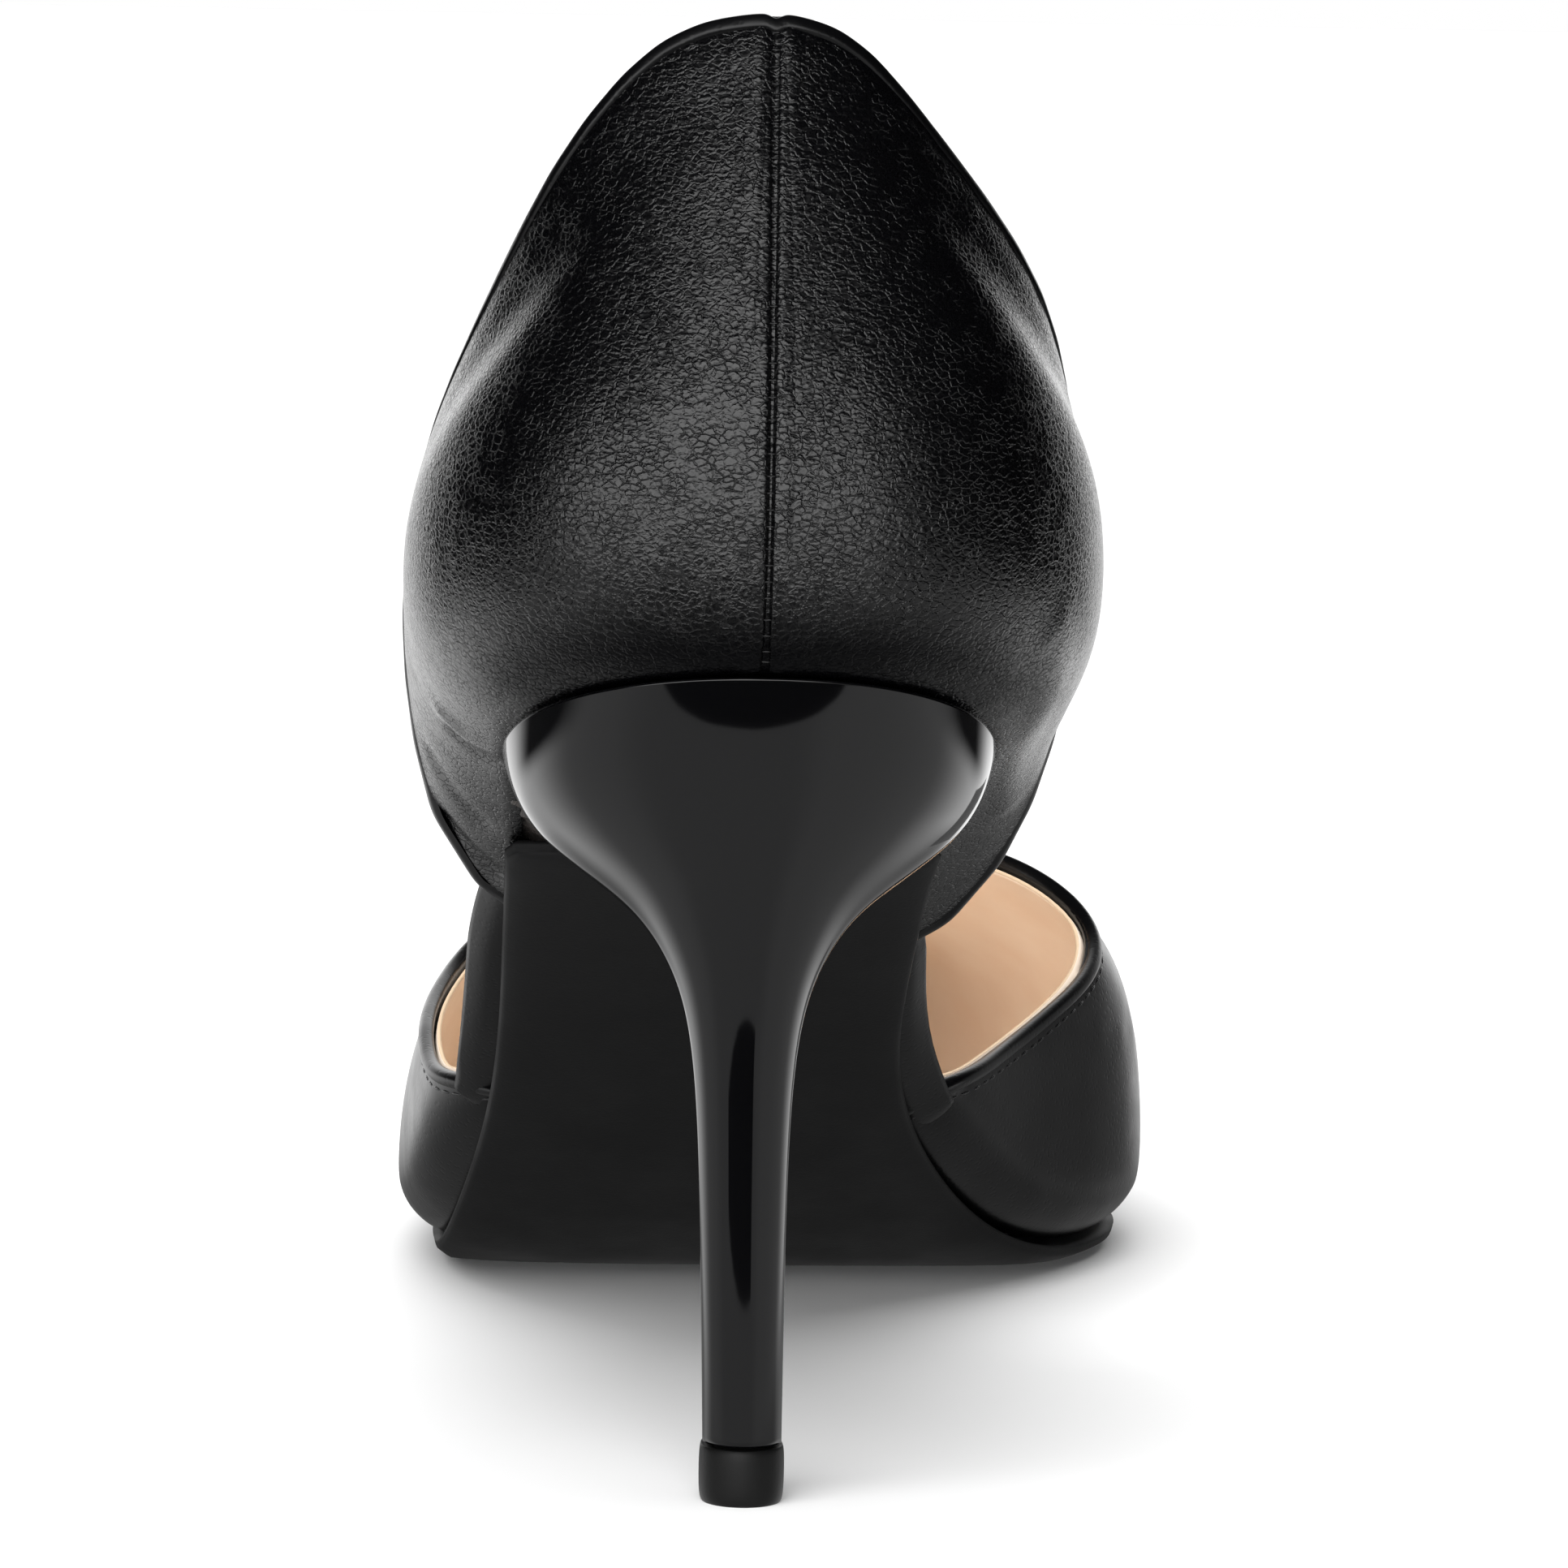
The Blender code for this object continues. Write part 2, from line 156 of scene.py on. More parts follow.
# Thin calf leather, pigmented and pressed smooth: a satin black with fine shallow pores
WRAP_GRAIN, WRAP_FLOW = 0.7, 6
wrap_leather, tree, shader, place = new_finish("satin_black_calf_leather", "#060607", 0.34, IOR=1.36)
pores = add_node(
    tree,
    "ShaderNodeTexVoronoi",
    {"Vector": place, "Scale": 1 / (WRAP_GRAIN * MM), "Randomness": 1.0},
    feature="F1",
)
flow = add_node(
    tree, "ShaderNodeTexNoise", {"Vector": place, "Scale": 1 / (WRAP_FLOW * MM), "Detail": 3.0}
)
sheen_spread = add_node(
    tree,
    "ShaderNodeMapRange",
    {"Value": flow.outputs["Fac"], "From Min": 0.3, "From Max": 0.7, "To Min": 0.27, "To Max": 0.36},
)
pore_depth = add_node(
    tree, "ShaderNodeMapRange", {"Value": pores.outputs["Distance"], "From Max": 0.4, "To Max": 1.0}
)
pore_bump = add_node(
    tree,
    "ShaderNodeBump",
    {"Strength": 0.35, "Distance": 0.05 * MM, "Height": pore_depth.outputs["Result"]},
)
tree.links.new(sheen_spread.outputs["Result"], shader.inputs["Roughness"])
tree.links.new(pore_bump.outputs["Normal"], shader.inputs["Normal"])

# Lasting margin: rough split leather smeared with dried glue, which shines in spots
PLEAT = 1.6
margin_leather, tree, shader, place = new_finish("rough_lasted_leather_with_glue", "#403b38", 0.55, IOR=1.5)
pleats = add_node(
    tree,
    "ShaderNodeTexNoise",
    {"Vector": place, "Scale": 1 / (PLEAT * MM), "Detail": 6.0, "Roughness": 0.7},
)
glue = add_node(
    tree,
    "ShaderNodeMapRange",
    {"Value": pleats.outputs["Fac"], "From Min": 0.45, "From Max": 0.62, "To Min": 0.7, "To Max": 0.22},
)
pleat_bump = add_node(
    tree, "ShaderNodeBump", {"Strength": 1.0, "Distance": 0.6 * MM, "Height": pleats.outputs["Fac"]}
)
tree.links.new(glue.outputs["Result"], shader.inputs["Roughness"])
tree.links.new(pleat_bump.outputs["Normal"], shader.inputs["Normal"])


def bell(value, middle, width):
    """A smooth hump: 1 in the middle, fading to 0 on both sides."""
    return np.exp(-(((value - middle) / width) ** 2))


def step_up(value, low, high):
    """A smooth step: 0 up to a low value, and 1 from a high one on."""
    share = np.clip((value - low) / (high - low), 0, 1)
    return share * share * (3 - 2 * share)


def reshape(piece, move):
    """Move every point by what a function gives for all places and normals."""
    mesh = piece.data
    places = np.empty(len(mesh.vertices) * 3)
    normals = np.empty(len(mesh.vertices) * 3)
    mesh.vertices.foreach_get("co", places)
    mesh.vertex_normals.foreach_get("vector", normals)
    places = places.reshape(-1, 3)
    places += move(places, normals.reshape(-1, 3))
    mesh.vertices.foreach_set("co", places.ravel())
    mesh.update()


# How far the wrapped edge is drawn out to the toe and to the heel, and over which stretches, in mm
FORWARD_RUN, FORWARD_RISE, FORWARD_FADE = 9.5, (-40, -26), (-26, 30)
BACK_RUN, BACK_RISE, BACK_FADE = 4.0, (-80, -48), (-47, -38)
# How far it bulges on the inner side and is drawn in on both, each with its place and spread, in mm
INNER_SIDE, BULGE, BULGE_PLACE = 10, 2.2, (-14, 9)
DRAW_IN, DRAW_IN_PLACE = 1.0, (-49, 4)
# The part of the board's top that gives its slope
FACES_UP, SLOPE_HALF_WIDTH, SLOPE_MIDDLE, SLOPE_REACH, SLOPE_DEGREE = 0.5, 12, -25, 65, 4


def run_on(places, normals):
    """The wrapped edge runs on under the vamp and the quarter, along the slope of the board."""
    along = places[:, 1] / MM
    moved = along + FORWARD_RUN * step_up(along, *FORWARD_RISE) * (1 - step_up(along, *FORWARD_FADE))
    moved -= BACK_RUN * (1 - step_up(along, *BACK_FADE)) * step_up(along, *BACK_RISE)
    on_top = (np.abs(places[:, 0]) < SLOPE_HALF_WIDTH * MM) & (normals[:, 2] > FACES_UP)
    middle = on_top & (np.abs(along - SLOPE_MIDDLE) < SLOPE_REACH)
    slope = np.polynomial.Polynomial.fit(along[middle], places[middle, 2] / MM, SLOPE_DEGREE)
    fall = np.where(moved == along, 0, slope(moved) - slope(along))
    bulge = np.where(places[:, 0] > INNER_SIDE * MM, BULGE * bell(moved, *BULGE_PLACE), 0)
    drawn_in = np.sign(places[:, 0]) * DRAW_IN * bell(moved, *DRAW_IN_PLACE)
    return np.stack([bulge - drawn_in, moved - along, fall], -1) * MM


insole = work_copy("insole", "insole_board")
hold_edges(insole, angle=50, share=0.6)
reshape(insole, run_on)
insole.data.materials.append(wrap_leather)
insole.data.materials.append(margin_leather)
FACES_DOWN, MARGIN_FROM, MARGIN_TO = -0.3, -80 * MM, -52 * MM
for face in insole.data.polygons:
    under = face.normal.z < FACES_DOWN and MARGIN_FROM < face.center.y < MARGIN_TO
    face.material_index = 1 if under else 0
round_off(insole, levels=2)
# Thickness of the lasted leather with its place and spread, and its slanting and crosswise lumps
SWELL, SWELL_PLACE = 1.6, (-69, 7)
LUMP_SHARE, SLANT_ACROSS, SLANT_ALONG, CROSSWISE = 0.35, 2.1, 0.7, 1.7


def swell_margin(places, normals):
    """The lasted leather lies thick and lumpy on the underside between heel and outsole."""
    across, along, _ = places.T / MM
    slanting = np.sin(across * SLANT_ACROSS + along * SLANT_ALONG)
    lumps = 1.0 + LUMP_SHARE * slanting * np.sin(along * CROSSWISE)
    share = (normals[:, 2] < FACES_DOWN) * bell(along, *SWELL_PLACE) * lumps
    return normals * share[:, None] * SWELL * MM


reshape(insole, swell_margin)
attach(insole, "root")
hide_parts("insole")

# Vamp
# The front of the upper: one piece of satin calf leather pulled over the last. It is cut out low
# at both sides, and its throat edge is folded in over a tape.
CORNER, WALL_FACES, UNDERSIDE = math.radians(50), 200, -0.6
LINE_STEP, THROAT_REACH, EDGE_PULL = 0.4 * MM, 32, 5


def sides_of(piece, heart):
    """For each face: 1 on the outside of a leather wall, -1 on its inside and 0 on the edges between."""
    work = bmesh.new()
    work.from_mesh(piece.data)
    work.faces.ensure_lookup_table()
    sides = [0] * len(work.faces)
    waiting = set(range(len(work.faces)))
    while waiting:
        group = [work.faces[waiting.pop()]]
        for face in group:
            for edge in face.edges:
                if edge.calc_face_angle(math.pi) < CORNER:
                    found = [other for other in edge.link_faces if other.index in waiting]
                    waiting.difference_update(other.index for other in found)
                    group.extend(found)
        centres = [face.calc_center_median() for face in group]
        outward = sum(face.normal.dot(centre - heart(centre)) for face, centre in zip(group, centres))
        for face in group:
            sides[face.index] = int(math.copysign(len(group) > WALL_FACES, outward))
    work.free()
    return sides


def lengths_along(points):
    """How far along a line each of its points lies."""
    return np.concatenate([[0], np.cumsum(np.linalg.norm(np.diff(points, axis=0), axis=1))])


def evenly(points, step):
    """Rows of values along a line, at places a step apart. The first three values are the place."""
    lengths = lengths_along(points[:, :3])
    places = np.linspace(0, lengths[-1], max(2, int(lengths[-1] / step)))
    return np.stack([np.interp(places, lengths, column) for column in points.T], -1)


def smoothed(values, reach):
    """Values along a line, each averaged with its neighbours on both sides. The ends stay."""
    weights = np.hanning(2 * reach + 3)[1:-1]
    before = 2 * values[0] - values[reach:0:-1]
    after = 2 * values[-1] - values[-2 : -reach - 2 : -1]
    padded = np.concatenate([before, values, after])
    return np.stack([np.convolve(column, weights / weights.sum(), "valid") for column in padded.T], -1)


def unit(vectors):
    """Vectors of length 1 that point the same ways."""
    return vectors / np.maximum(np.linalg.norm(vectors, axis=-1, keepdims=True), 1e-12)


def edge_line(piece, sides, reach):
    """A wall's free edge, along its outer corner: smoothed places, ways away over the face, ways out.

    The places before smoothing come last.
    """
    work = bmesh.new()
    work.from_mesh(piece.data)
    links = {}
    frames = {}
    for edge in work.edges:
        pair = sorted(edge.link_faces, key=lambda face: sides[face.index])
        if [sides[face.index] for face in pair] != [0, 1] or pair[0].normal.z < UNDERSIDE:
            continue
        for here, there in ((0, 1), (1, 0)):
            vertex, other = edge.verts[here], edge.verts[there]
            links.setdefault(vertex.index, []).append(other.index)
            over = pair[1].calc_center_median() - vertex.co
            frames.setdefault(vertex.index, []).append([*vertex.co, *over, *pair[1].normal])
    routes = []
    for start in [index for index, ends in links.items() if len(ends) == 1]:
        route = [start]
        ahead = links[start]
        while ahead:
            route.append(ahead[0])
            ahead = [index for index in links[route[-1]] if index not in route[-3:]]
        routes.append(route)
    rows = np.array([np.mean(frames[index], axis=0) for index in max(routes, key=len)])
    work.free()
    rough_rows = evenly(rows, LINE_STEP)
    rows = smoothed(rough_rows, reach)
    line, over, out = rows[:, :3], rows[:, 3:6], rows[:, 6:]
    ahead = unit(np.gradient(line, axis=0))
    out = unit(out - ahead * np.sum(out * ahead, axis=1, keepdims=True))
    away = np.cross(out, ahead)
    away *= np.sign(np.sum(away * over, axis=1, keepdims=True))
    return line, away, out, rough_rows[:, :3]


# The middle of the hollow inside the vamp, a line that falls to the toe, in mm
VAMP_HEART = ((-9, -21, 33), (-2, 20, 11), (3, 60, 12), (6.5, 84, 12))


def heart_of_vamp(place):
    """The middle of the hollow that a place on the vamp stands round."""
    line = [Vector(point) * MM for point in VAMP_HEART]
    spots = []
    for start, end in zip(line[:-1], line[1:]):
        share = (place - start).dot(end - start) / (end - start).length_squared
        spots.append(start.lerp(end, min(max(share, 0), 1)))
    return min(spots, key=lambda spot: (spot - place).length)


vamp = work_copy("vamp", "vamp_leather")
vamp_lining = work_copy("vamp", "vamp_lining")
vamp_sides = sides_of(vamp, heart_of_vamp)
throat_line, throat_away, throat_out, rough_throat = edge_line(vamp, vamp_sides, THROAT_REACH)


def nearest_of(points):
    """A search tree for the nearest of some points."""
    search = kdtree.KDTree(len(points))
    for i, point in enumerate(points):
        search.insert(point, i)
    search.balance()
    return search


def even_out(places, normals):
    """Draw the wall beside the throat along when its edge is smoothed."""
    search = nearest_of(rough_throat)
    found = [search.find(place) for place in places]
    share = bell(np.array([far for _, _, far in found]) / MM, 0, EDGE_PULL)
    steps = (throat_line - rough_throat)[[i for _, i, _ in found]]
    return steps * share[:, None]


def distance_from(line):
    """A function for how far places lie from a line."""
    search = nearest_of(line)
    return lambda places: np.array([search.find(place)[2] for place in places])


reshape(vamp, even_out)
reshape(vamp_lining, even_out)
round_off(vamp, levels=2)

# The stretched leather lies smooth away from its edges
STRETCHED, FEATHER = 3.5 * MM, 5.5 * MM
from_throat = distance_from(throat_line)([vertex.co for vertex in vamp.data.vertices])
work_on(vamp)
bpy.ops.object.mode_set(mode="EDIT")
bpy.ops.mesh.select_mode(type="VERT")
bpy.ops.object.mode_set(mode="OBJECT")
for vertex, far in zip(vamp.data.vertices, from_throat):
    vertex.select = bool(far > STRETCHED and vertex.co.z > FEATHER)
bpy.ops.object.mode_set(mode="EDIT")
bpy.ops.mesh.vertices_smooth(factor=0.5, repeat=8)
bpy.ops.mesh.select_mode(type="FACE")
bpy.ops.object.mode_set(mode="OBJECT")
vamp.data.materials.append(wrap_leather)
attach(vamp, "root")
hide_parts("vamp")

# Throat fold
# The vamp's leather turned in over a tape along its edge and glued down, so that it lies double there
# as a soft round band.
LEATHER = 1.6


def sweep(name, line, away, out, section):
    """A strip with one cross section along a line. Its points lie (away, out) from the line, in mm."""
    rows = []
    for aside, above in section:
        rows.append(line + away * np.reshape(aside, (-1, 1)) * MM + out * np.reshape(above, (-1, 1)) * MM)
    place = np.arange(len(rows) * len(line)).reshape(len(rows), len(line))
    corners = np.stack([place[:-1, :-1], place[1:, :-1], place[1:, 1:], place[:-1, 1:]], -1).reshape(-1, 4)
    strip = bpy.data.objects.new(name, bpy.data.meshes.new(name))
    strip.data.from_pydata(np.concatenate(rows), [], corners.tolist())
    bpy.context.collection.objects.link(strip)
    half = len(line) // 2
    if strip.data.polygons[len(line) + half].normal.dot(Vector(out[half])) < 0:
        strip.data.flip_normals()
    strip.data.shade_smooth()
    round_off(strip, levels=1)
    return strip


# From the groove on the outer face, up over the edge and down inside
THROAT_FOLD = (
    (1.75, -0.5), (1.55, -0.2), (1.45, 0.02), (1.2, 0.16), (0.7, 0.22), (0.25, 0.12), (0.02, -0.15),
    (-0.05, -0.5), (-0.02, -0.9), (0.15, 0.3 - LEATHER), (0.5, 0.2 - LEATHER), (1.2, 0.3 - LEATHER),
)
throat_fold = sweep("throat_fold", throat_line, throat_away, throat_out, THROAT_FOLD)
throat_fold.data.materials.append(wrap_leather)
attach(throat_fold, "root")

# Throat stitches
# One row of black polyester thread, sewn by machine. It holds the folded edge of the vamp down on
# its lining.
STITCH_ROW, STITCH, STITCH_GAP, THREAD = 2.3 * MM, 1.9 * MM, 0.4 * MM, 0.4 * MM
STITCH_SINK, FLATNESS = 0.05 * MM, 0.7


def sew(name, line, normals, pitch, length, thread, turned):
    """One mesh of stitches along a line, each a flat bead of thread, along it or turned across it."""
    bpy.ops.object.select_all(action="DESELECT")
    bpy.ops.mesh.primitive_uv_sphere_add(segments=8, ring_count=6, radius=0.5)
    bead = bpy.context.active_object
    bead_points = np.array([vertex.co for vertex in bead.data.vertices])
    bead_faces = [list(face.vertices) for face in bead.data.polygons]
    bpy.data.objects.remove(bead, do_unlink=True)
    lengths = lengths_along(line)
    ahead = unit(np.gradient(line, axis=0))
    points = []
    faces = []
    for start in np.arange(pitch / 2, lengths[-1], pitch):
        i = int(np.searchsorted(lengths, start))
        up = unit(normals[i] - ahead[i] * normals[i].dot(ahead[i]))
        across = np.cross(up, ahead[i])
        long_way, short_way = (across, ahead[i]) if turned else (ahead[i], across)
        axes_of_bead = np.stack([long_way * length, short_way * thread, up * thread * FLATNESS])
        faces += [[k + len(points) * len(bead_points) for k in face] for face in bead_faces]
        points.append(line[i] + bead_points @ axes_of_bead)
    mesh = bpy.data.meshes.new(name)
    mesh.from_pydata(np.concatenate(points), [], faces)
    row = bpy.data.objects.new(name, mesh)
    bpy.context.collection.objects.link(row)
    mesh.shade_smooth()
    return row


def laid_on(piece, line, sink):
    """A line laid down on a piece's surface and sunk in, with the surface's way out at each point."""
    spots = []
    normals = []
    for point in line:
        _, spot, normal, _ = piece.closest_point_on_mesh(Vector(point))
        spots.append(spot - normal * sink)
        normals.append(normal)
    return np.array(spots), np.array(normals)


# Waxed polyester thread: black, a little glossier than the leather, with a fine twist
TWIST = 0.9
thread_black, tree, shader, place = new_finish("waxed_black_polyester_thread", "#0b0b0c", 0.36, IOR=1.54)
twist = add_node(
    tree, "ShaderNodeTexWave", {"Vector": place, "Scale": 1 / (TWIST * MM)}, bands_direction="DIAGONAL"
)
twist_bump = add_node(
    tree, "ShaderNodeBump", {"Strength": 0.5, "Distance": 0.04 * MM, "Height": twist.outputs["Fac"]}
)
tree.links.new(twist_bump.outputs["Normal"], shader.inputs["Normal"])

stitch_line, stitch_normals = laid_on(vamp, throat_line + throat_away * STITCH_ROW, STITCH_SINK)
throat_stitches = sew(
    "throat_stitches", stitch_line, stitch_normals, STITCH + STITCH_GAP, STITCH, THREAD, turned=False
)
throat_stitches.data.materials.append(thread_black)
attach(throat_stitches, "root")

# Vamp lining
# Tan lining leather glued inside the vamp. It stops just short of the folded edge, where its
# pale cut edge shows.
LINING, LINING_GAP, LINING_SQUEEZE, VAMP_SET_BACK = 0.4 * MM, 0.05 * MM, 6.0 * MM, 0.2 * MM
# At its foot, away from the open waist, it is set back more
FOOT_SET_BACK, FOOT_STEEP, WAIST, OFF_WAIST = 3.0 * MM, (0.4, 0.8), -32, (22, 34)


def line_inside(piece, sides, set_back, finish, edge_finish):
    """Cut a copy of the upper down to a thin lining on its inner face, set back from the folded edge."""
    work_on(piece)
    for face, side in zip(piece.data.polygons, sides):
        face.select = side != -1
    bpy.ops.object.mode_set(mode="EDIT")
    bpy.ops.mesh.delete(type="FACE")
    bpy.ops.mesh.select_all(action="SELECT")
    bpy.ops.transform.shrink_fatten(value=LINING_GAP)
    bpy.ops.object.mode_set(mode="OBJECT")
    work = bmesh.new()
    work.from_mesh(piece.data)
    border = [vertex for vertex in work.verts if vertex.is_boundary]
    search = nearest_of([vertex.co for vertex in border])
    moves = {}
    for vertex in work.verts:
        spot, _, far = search.find(vertex.co)
        step = vertex.co - spot
        if vertex.is_boundary:
            inner = [edge.other_vert(vertex).co for edge in vertex.link_edges if not edge.is_boundary]
            step = sum((place - vertex.co for place in inner), Vector())
        if far < LINING_SQUEEZE and step.length > 0:
            step.normalize()
            foot = step_up(step.z, *FOOT_STEEP) * step_up(abs(spot.y / MM - WAIST), *OFF_WAIST)
            size = set_back + (FOOT_SET_BACK - set_back) * foot
            moves[vertex] = step * size * (1 - far / LINING_SQUEEZE)
    for vertex, step in moves.items():
        vertex.co += step
    work.to_mesh(piece.data)
    work.free()
    piece.data.materials.append(finish)
    piece.data.materials.append(edge_finish)
    round_off(piece, levels=2)
    wall = piece.modifiers.new("lining thickness", "SOLIDIFY")
    wall.thickness = LINING
    wall.offset = 1.0
    wall.material_offset_rim = 1
    bpy.ops.object.modifier_apply(modifier=wall.name)


# Vegetable tanned lining leather: smooth pale tan with a faint cloudy tone and tiny pores
TAN_PORE, TAN_CLOUD = 0.4, 14
tan_leather, tree, shader, place = new_finish("smooth_tan_lining_leather", "#efdcc8", 0.52, IOR=1.45)
cloud = add_node(
    tree, "ShaderNodeTexNoise", {"Vector": place, "Scale": 1 / (TAN_CLOUD * MM), "Detail": 4.0}
)
tones = add_node(tree, "ShaderNodeValToRGB", {"Fac": cloud.outputs["Fac"]})
tones.color_ramp.elements[0].position = 0.3
tones.color_ramp.elements[0].color = linear("#eed9c4")
tones.color_ramp.elements[1].position = 0.7
tones.color_ramp.elements[1].color = linear("#f6e7d6")
tan_pores = add_node(
    tree, "ShaderNodeTexNoise", {"Vector": place, "Scale": 1 / (TAN_PORE * MM), "Detail": 2.0}
)
tan_bump = add_node(
    tree, "ShaderNodeBump", {"Strength": 0.25, "Distance": 0.05 * MM, "Height": tan_pores.outputs["Fac"]}
)
tree.links.new(tones.outputs["Color"], shader.inputs["Base Color"])
tree.links.new(tan_bump.outputs["Normal"], shader.inputs["Normal"])

# Cut edge of the lining: raw cream fibre, matt
FIBRE = 0.25
cream_edge, tree, shader, place = new_finish("raw_cream_leather_edge", "#cfb79a", 0.8, IOR=1.4)
fibres = add_node(tree, "ShaderNodeTexNoise", {"Vector": place, "Scale": 1 / (FIBRE * MM), "Detail": 3.0})
fibre_bump = add_node(
    tree, "ShaderNodeBump", {"Strength": 0.5, "Distance": 0.08 * MM, "Height": fibres.outputs["Fac"]}
)
tree.links.new(fibre_bump.outputs["Normal"], shader.inputs["Normal"])

line_inside(vamp_lining, vamp_sides, VAMP_SET_BACK, tan_leather, cream_edge)
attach(vamp_lining, "root")

# Quarter
# The back of the upper: two halves of pebbled calf leather closed by a seam up the back, moulded
# over a stiff counter. The sides are drawn in softly below the top edge and crease at the waist.
SEAM, HEEL_ROUND, TOP_REACH = -8.39 * MM, -86 * MM, 7
quarter = work_copy("quarter", "quarter_leather")
quarter_lining = work_copy("quarter", "quarter_lining")
# How far the leather springs open, as a share of its way from the seam, and at which heights, in mm
OUTER_SPRING, OUTER_HEIGHT = 0.13, (132, 14)
RIM_SPRING, RIM_HEIGHT = 0.07, (138, 5)
INNER_SPRING, INNER_HEIGHT = 0.06, (117, 12.5)


def spring_open(places, normals):
    """The top edge springs open a little once the foot form is out, more so on the outer side."""
    high = places[:, 2] / MM
    off_seam = places[:, 0] - SEAM
    outer = OUTER_SPRING * bell(high, *OUTER_HEIGHT) + RIM_SPRING * bell(high, *RIM_HEIGHT)
    share = np.where(off_seam < 0, outer, INNER_SPRING * bell(high, *INNER_HEIGHT))
    return (off_seam * share)[:, None] * np.array((1, 0, 0))


def heart_of_quarter(place):
    """The middle of the heel, or of the waist farther forward, at the height of a place."""
    return Vector((SEAM, max(place.y, HEEL_ROUND), place.z))


reshape(quarter, spring_open)
reshape(quarter_lining, spring_open)
quarter_sides = sides_of(quarter, heart_of_quarter)
top_line, top_away, top_out, _ = edge_line(quarter, quarter_sides, TOP_REACH)
round_off(quarter, levels=3)

# The hollow below the top edge: its depth, its way below the edge and its height, each with a spread, in mm
HOLLOW, HOLLOW_BELOW, HOLLOW_HEIGHT = 0.8, (6.5, 3.6), (109, 15)
# Creases and ridges of the worn-in leather: points in mm, half width in mm, height in mm
CREASES = (
    (((-36.9, -76.5, 70.7), (-34.6, -77.1, 68.6), (-31.8, -80.2, 67.7)), 1.3, 0.3),
    (((-35.8, -74.5, 68.5), (-33.4, -74.9, 66.7), (-31.8, -76.0, 65.9)), 1.3, -0.35),
    (((-37.9, -63.0, 65.1), (-35.6, -62.1, 61.5), (-33.2, -60.7, 58.6)), 1.5, -0.3),
    (((-36.4, -55.1, 57.9), (-34.2, -54.2, 55.0), (-31.6, -53.6, 52.6)), 1.6, -0.5),
    (((18.7, -99.5, 81.6), (18.0, -81.9, 70.5), (17.6, -59.9, 60.8)), 2.4, 0.4),
)
crease_lines = [evenly(np.array(points) * MM, LINE_STEP) for points, _, _ in CREASES]


def wear(places, normals):
    """The hollow below the top edge at both sides, and the creases."""
    far = distance_from(top_line)(places)
    height = -HOLLOW * bell(far / MM, *HOLLOW_BELOW) * bell(places[:, 2] / MM, *HOLLOW_HEIGHT)
    for line, (_, width, rise) in zip(crease_lines, CREASES):
        height += rise * bell(distance_from(line)(places) / MM, 0, width)
    return normals * height[:, None] * MM


reshape(quarter, wear)

# The last stretch above the heel has its gloss turned down as painted shade by the heel seat: heights of
# the heel seat at places along the shoe, and the stretches upwards and forwards over which the painted
# shade fades, in mm
SEAT_PLACES, SEAT_HEIGHTS = (-113, -105, -97, -85, -70), (79.5, 77.5, 74, 68, 59)
SEAT_SHADE_UP, SEAT_SHADE_FORWARD = (1.5, 7.0), (-100, -84)


def mark_seat_shade(piece):
    """Write down for each point how near it lies to the heel seat, where shade is painted."""
    mark = piece.data.attributes.new("seat_shade_share", "FLOAT", "POINT")
    spots = np.array([vertex.co for vertex in piece.data.vertices]) / MM
    above_seat = spots[:, 2] - np.interp(spots[:, 1], SEAT_PLACES, SEAT_HEIGHTS)
    share = (1 - step_up(above_seat, *SEAT_SHADE_UP)) * (1 - step_up(spots[:, 1], *SEAT_SHADE_FORWARD))
    mark.data.foreach_set("value", share)


mark_seat_shade(quarter)

# Drummed calf leather, pigmented black: fine pebbles crossed by a sparse net of thin dark creases,
# drawn out crosswise high up and into slanting streaks at the waist, under a semi-gloss finish
PEBBLE, CREASE_NET, STREAK = 0.34, 0.72, 0.34
UNEVEN, UNEVEN_SHIFT, NET_GAP = 0.7, 0.6 * MM, 2.6
pebbled, tree, shader, place = new_finish("semi_gloss_pebbled_black_calf_leather", "#040405", 0.32, IOR=1.5)
shift = add_node(tree, "ShaderNodeTexNoise", {"Vector": place, "Scale": 1 / (UNEVEN * MM), "Detail": 3.0})
shift_size = add_node(
    tree,
    "ShaderNodeVectorMath",
    {0: shift.outputs["Color"], 1: (0.5, 0.5, 0.5)},
    operation="SUBTRACT",
)
warped = add_node(
    tree,
    "ShaderNodeVectorMath",
    {0: shift_size.outputs["Vector"], 1: (UNEVEN_SHIFT, UNEVEN_SHIFT, UNEVEN_SHIFT), 2: place},
    operation="MULTIPLY_ADD",
)
drawn = add_node(
    tree, "ShaderNodeMapping", {"Vector": warped.outputs["Vector"], "Scale": (0.75, 0.75, 1.15)}
)
net = add_node(
    tree,
    "ShaderNodeTexVoronoi",
    {"Vector": drawn.outputs["Vector"], "Scale": 1 / (CREASE_NET * MM)},
    feature="DISTANCE_TO_EDGE",
)
creases = add_node(
    tree,
    "ShaderNodeMapRange",
    {"Value": net.outputs["Distance"], "From Max": 0.13, "To Max": 1.0},
    interpolation_type="SMOOTHSTEP",
)
gaps = add_node(tree, "ShaderNodeTexNoise", {"Vector": place, "Scale": 1 / (NET_GAP * MM), "Detail": 2.0})
crease_depth = add_node(
    tree,
    "ShaderNodeMapRange",
    {"Value": gaps.outputs["Fac"], "From Min": 0.38, "From Max": 0.62, "To Min": 0.3, "To Max": 0.8},
)
pebbles = add_node(
    tree,
    "ShaderNodeTexVoronoi",
    {"Vector": drawn.outputs["Vector"], "Scale": 1 / (PEBBLE * MM)},
    feature="SMOOTH_F1",
)
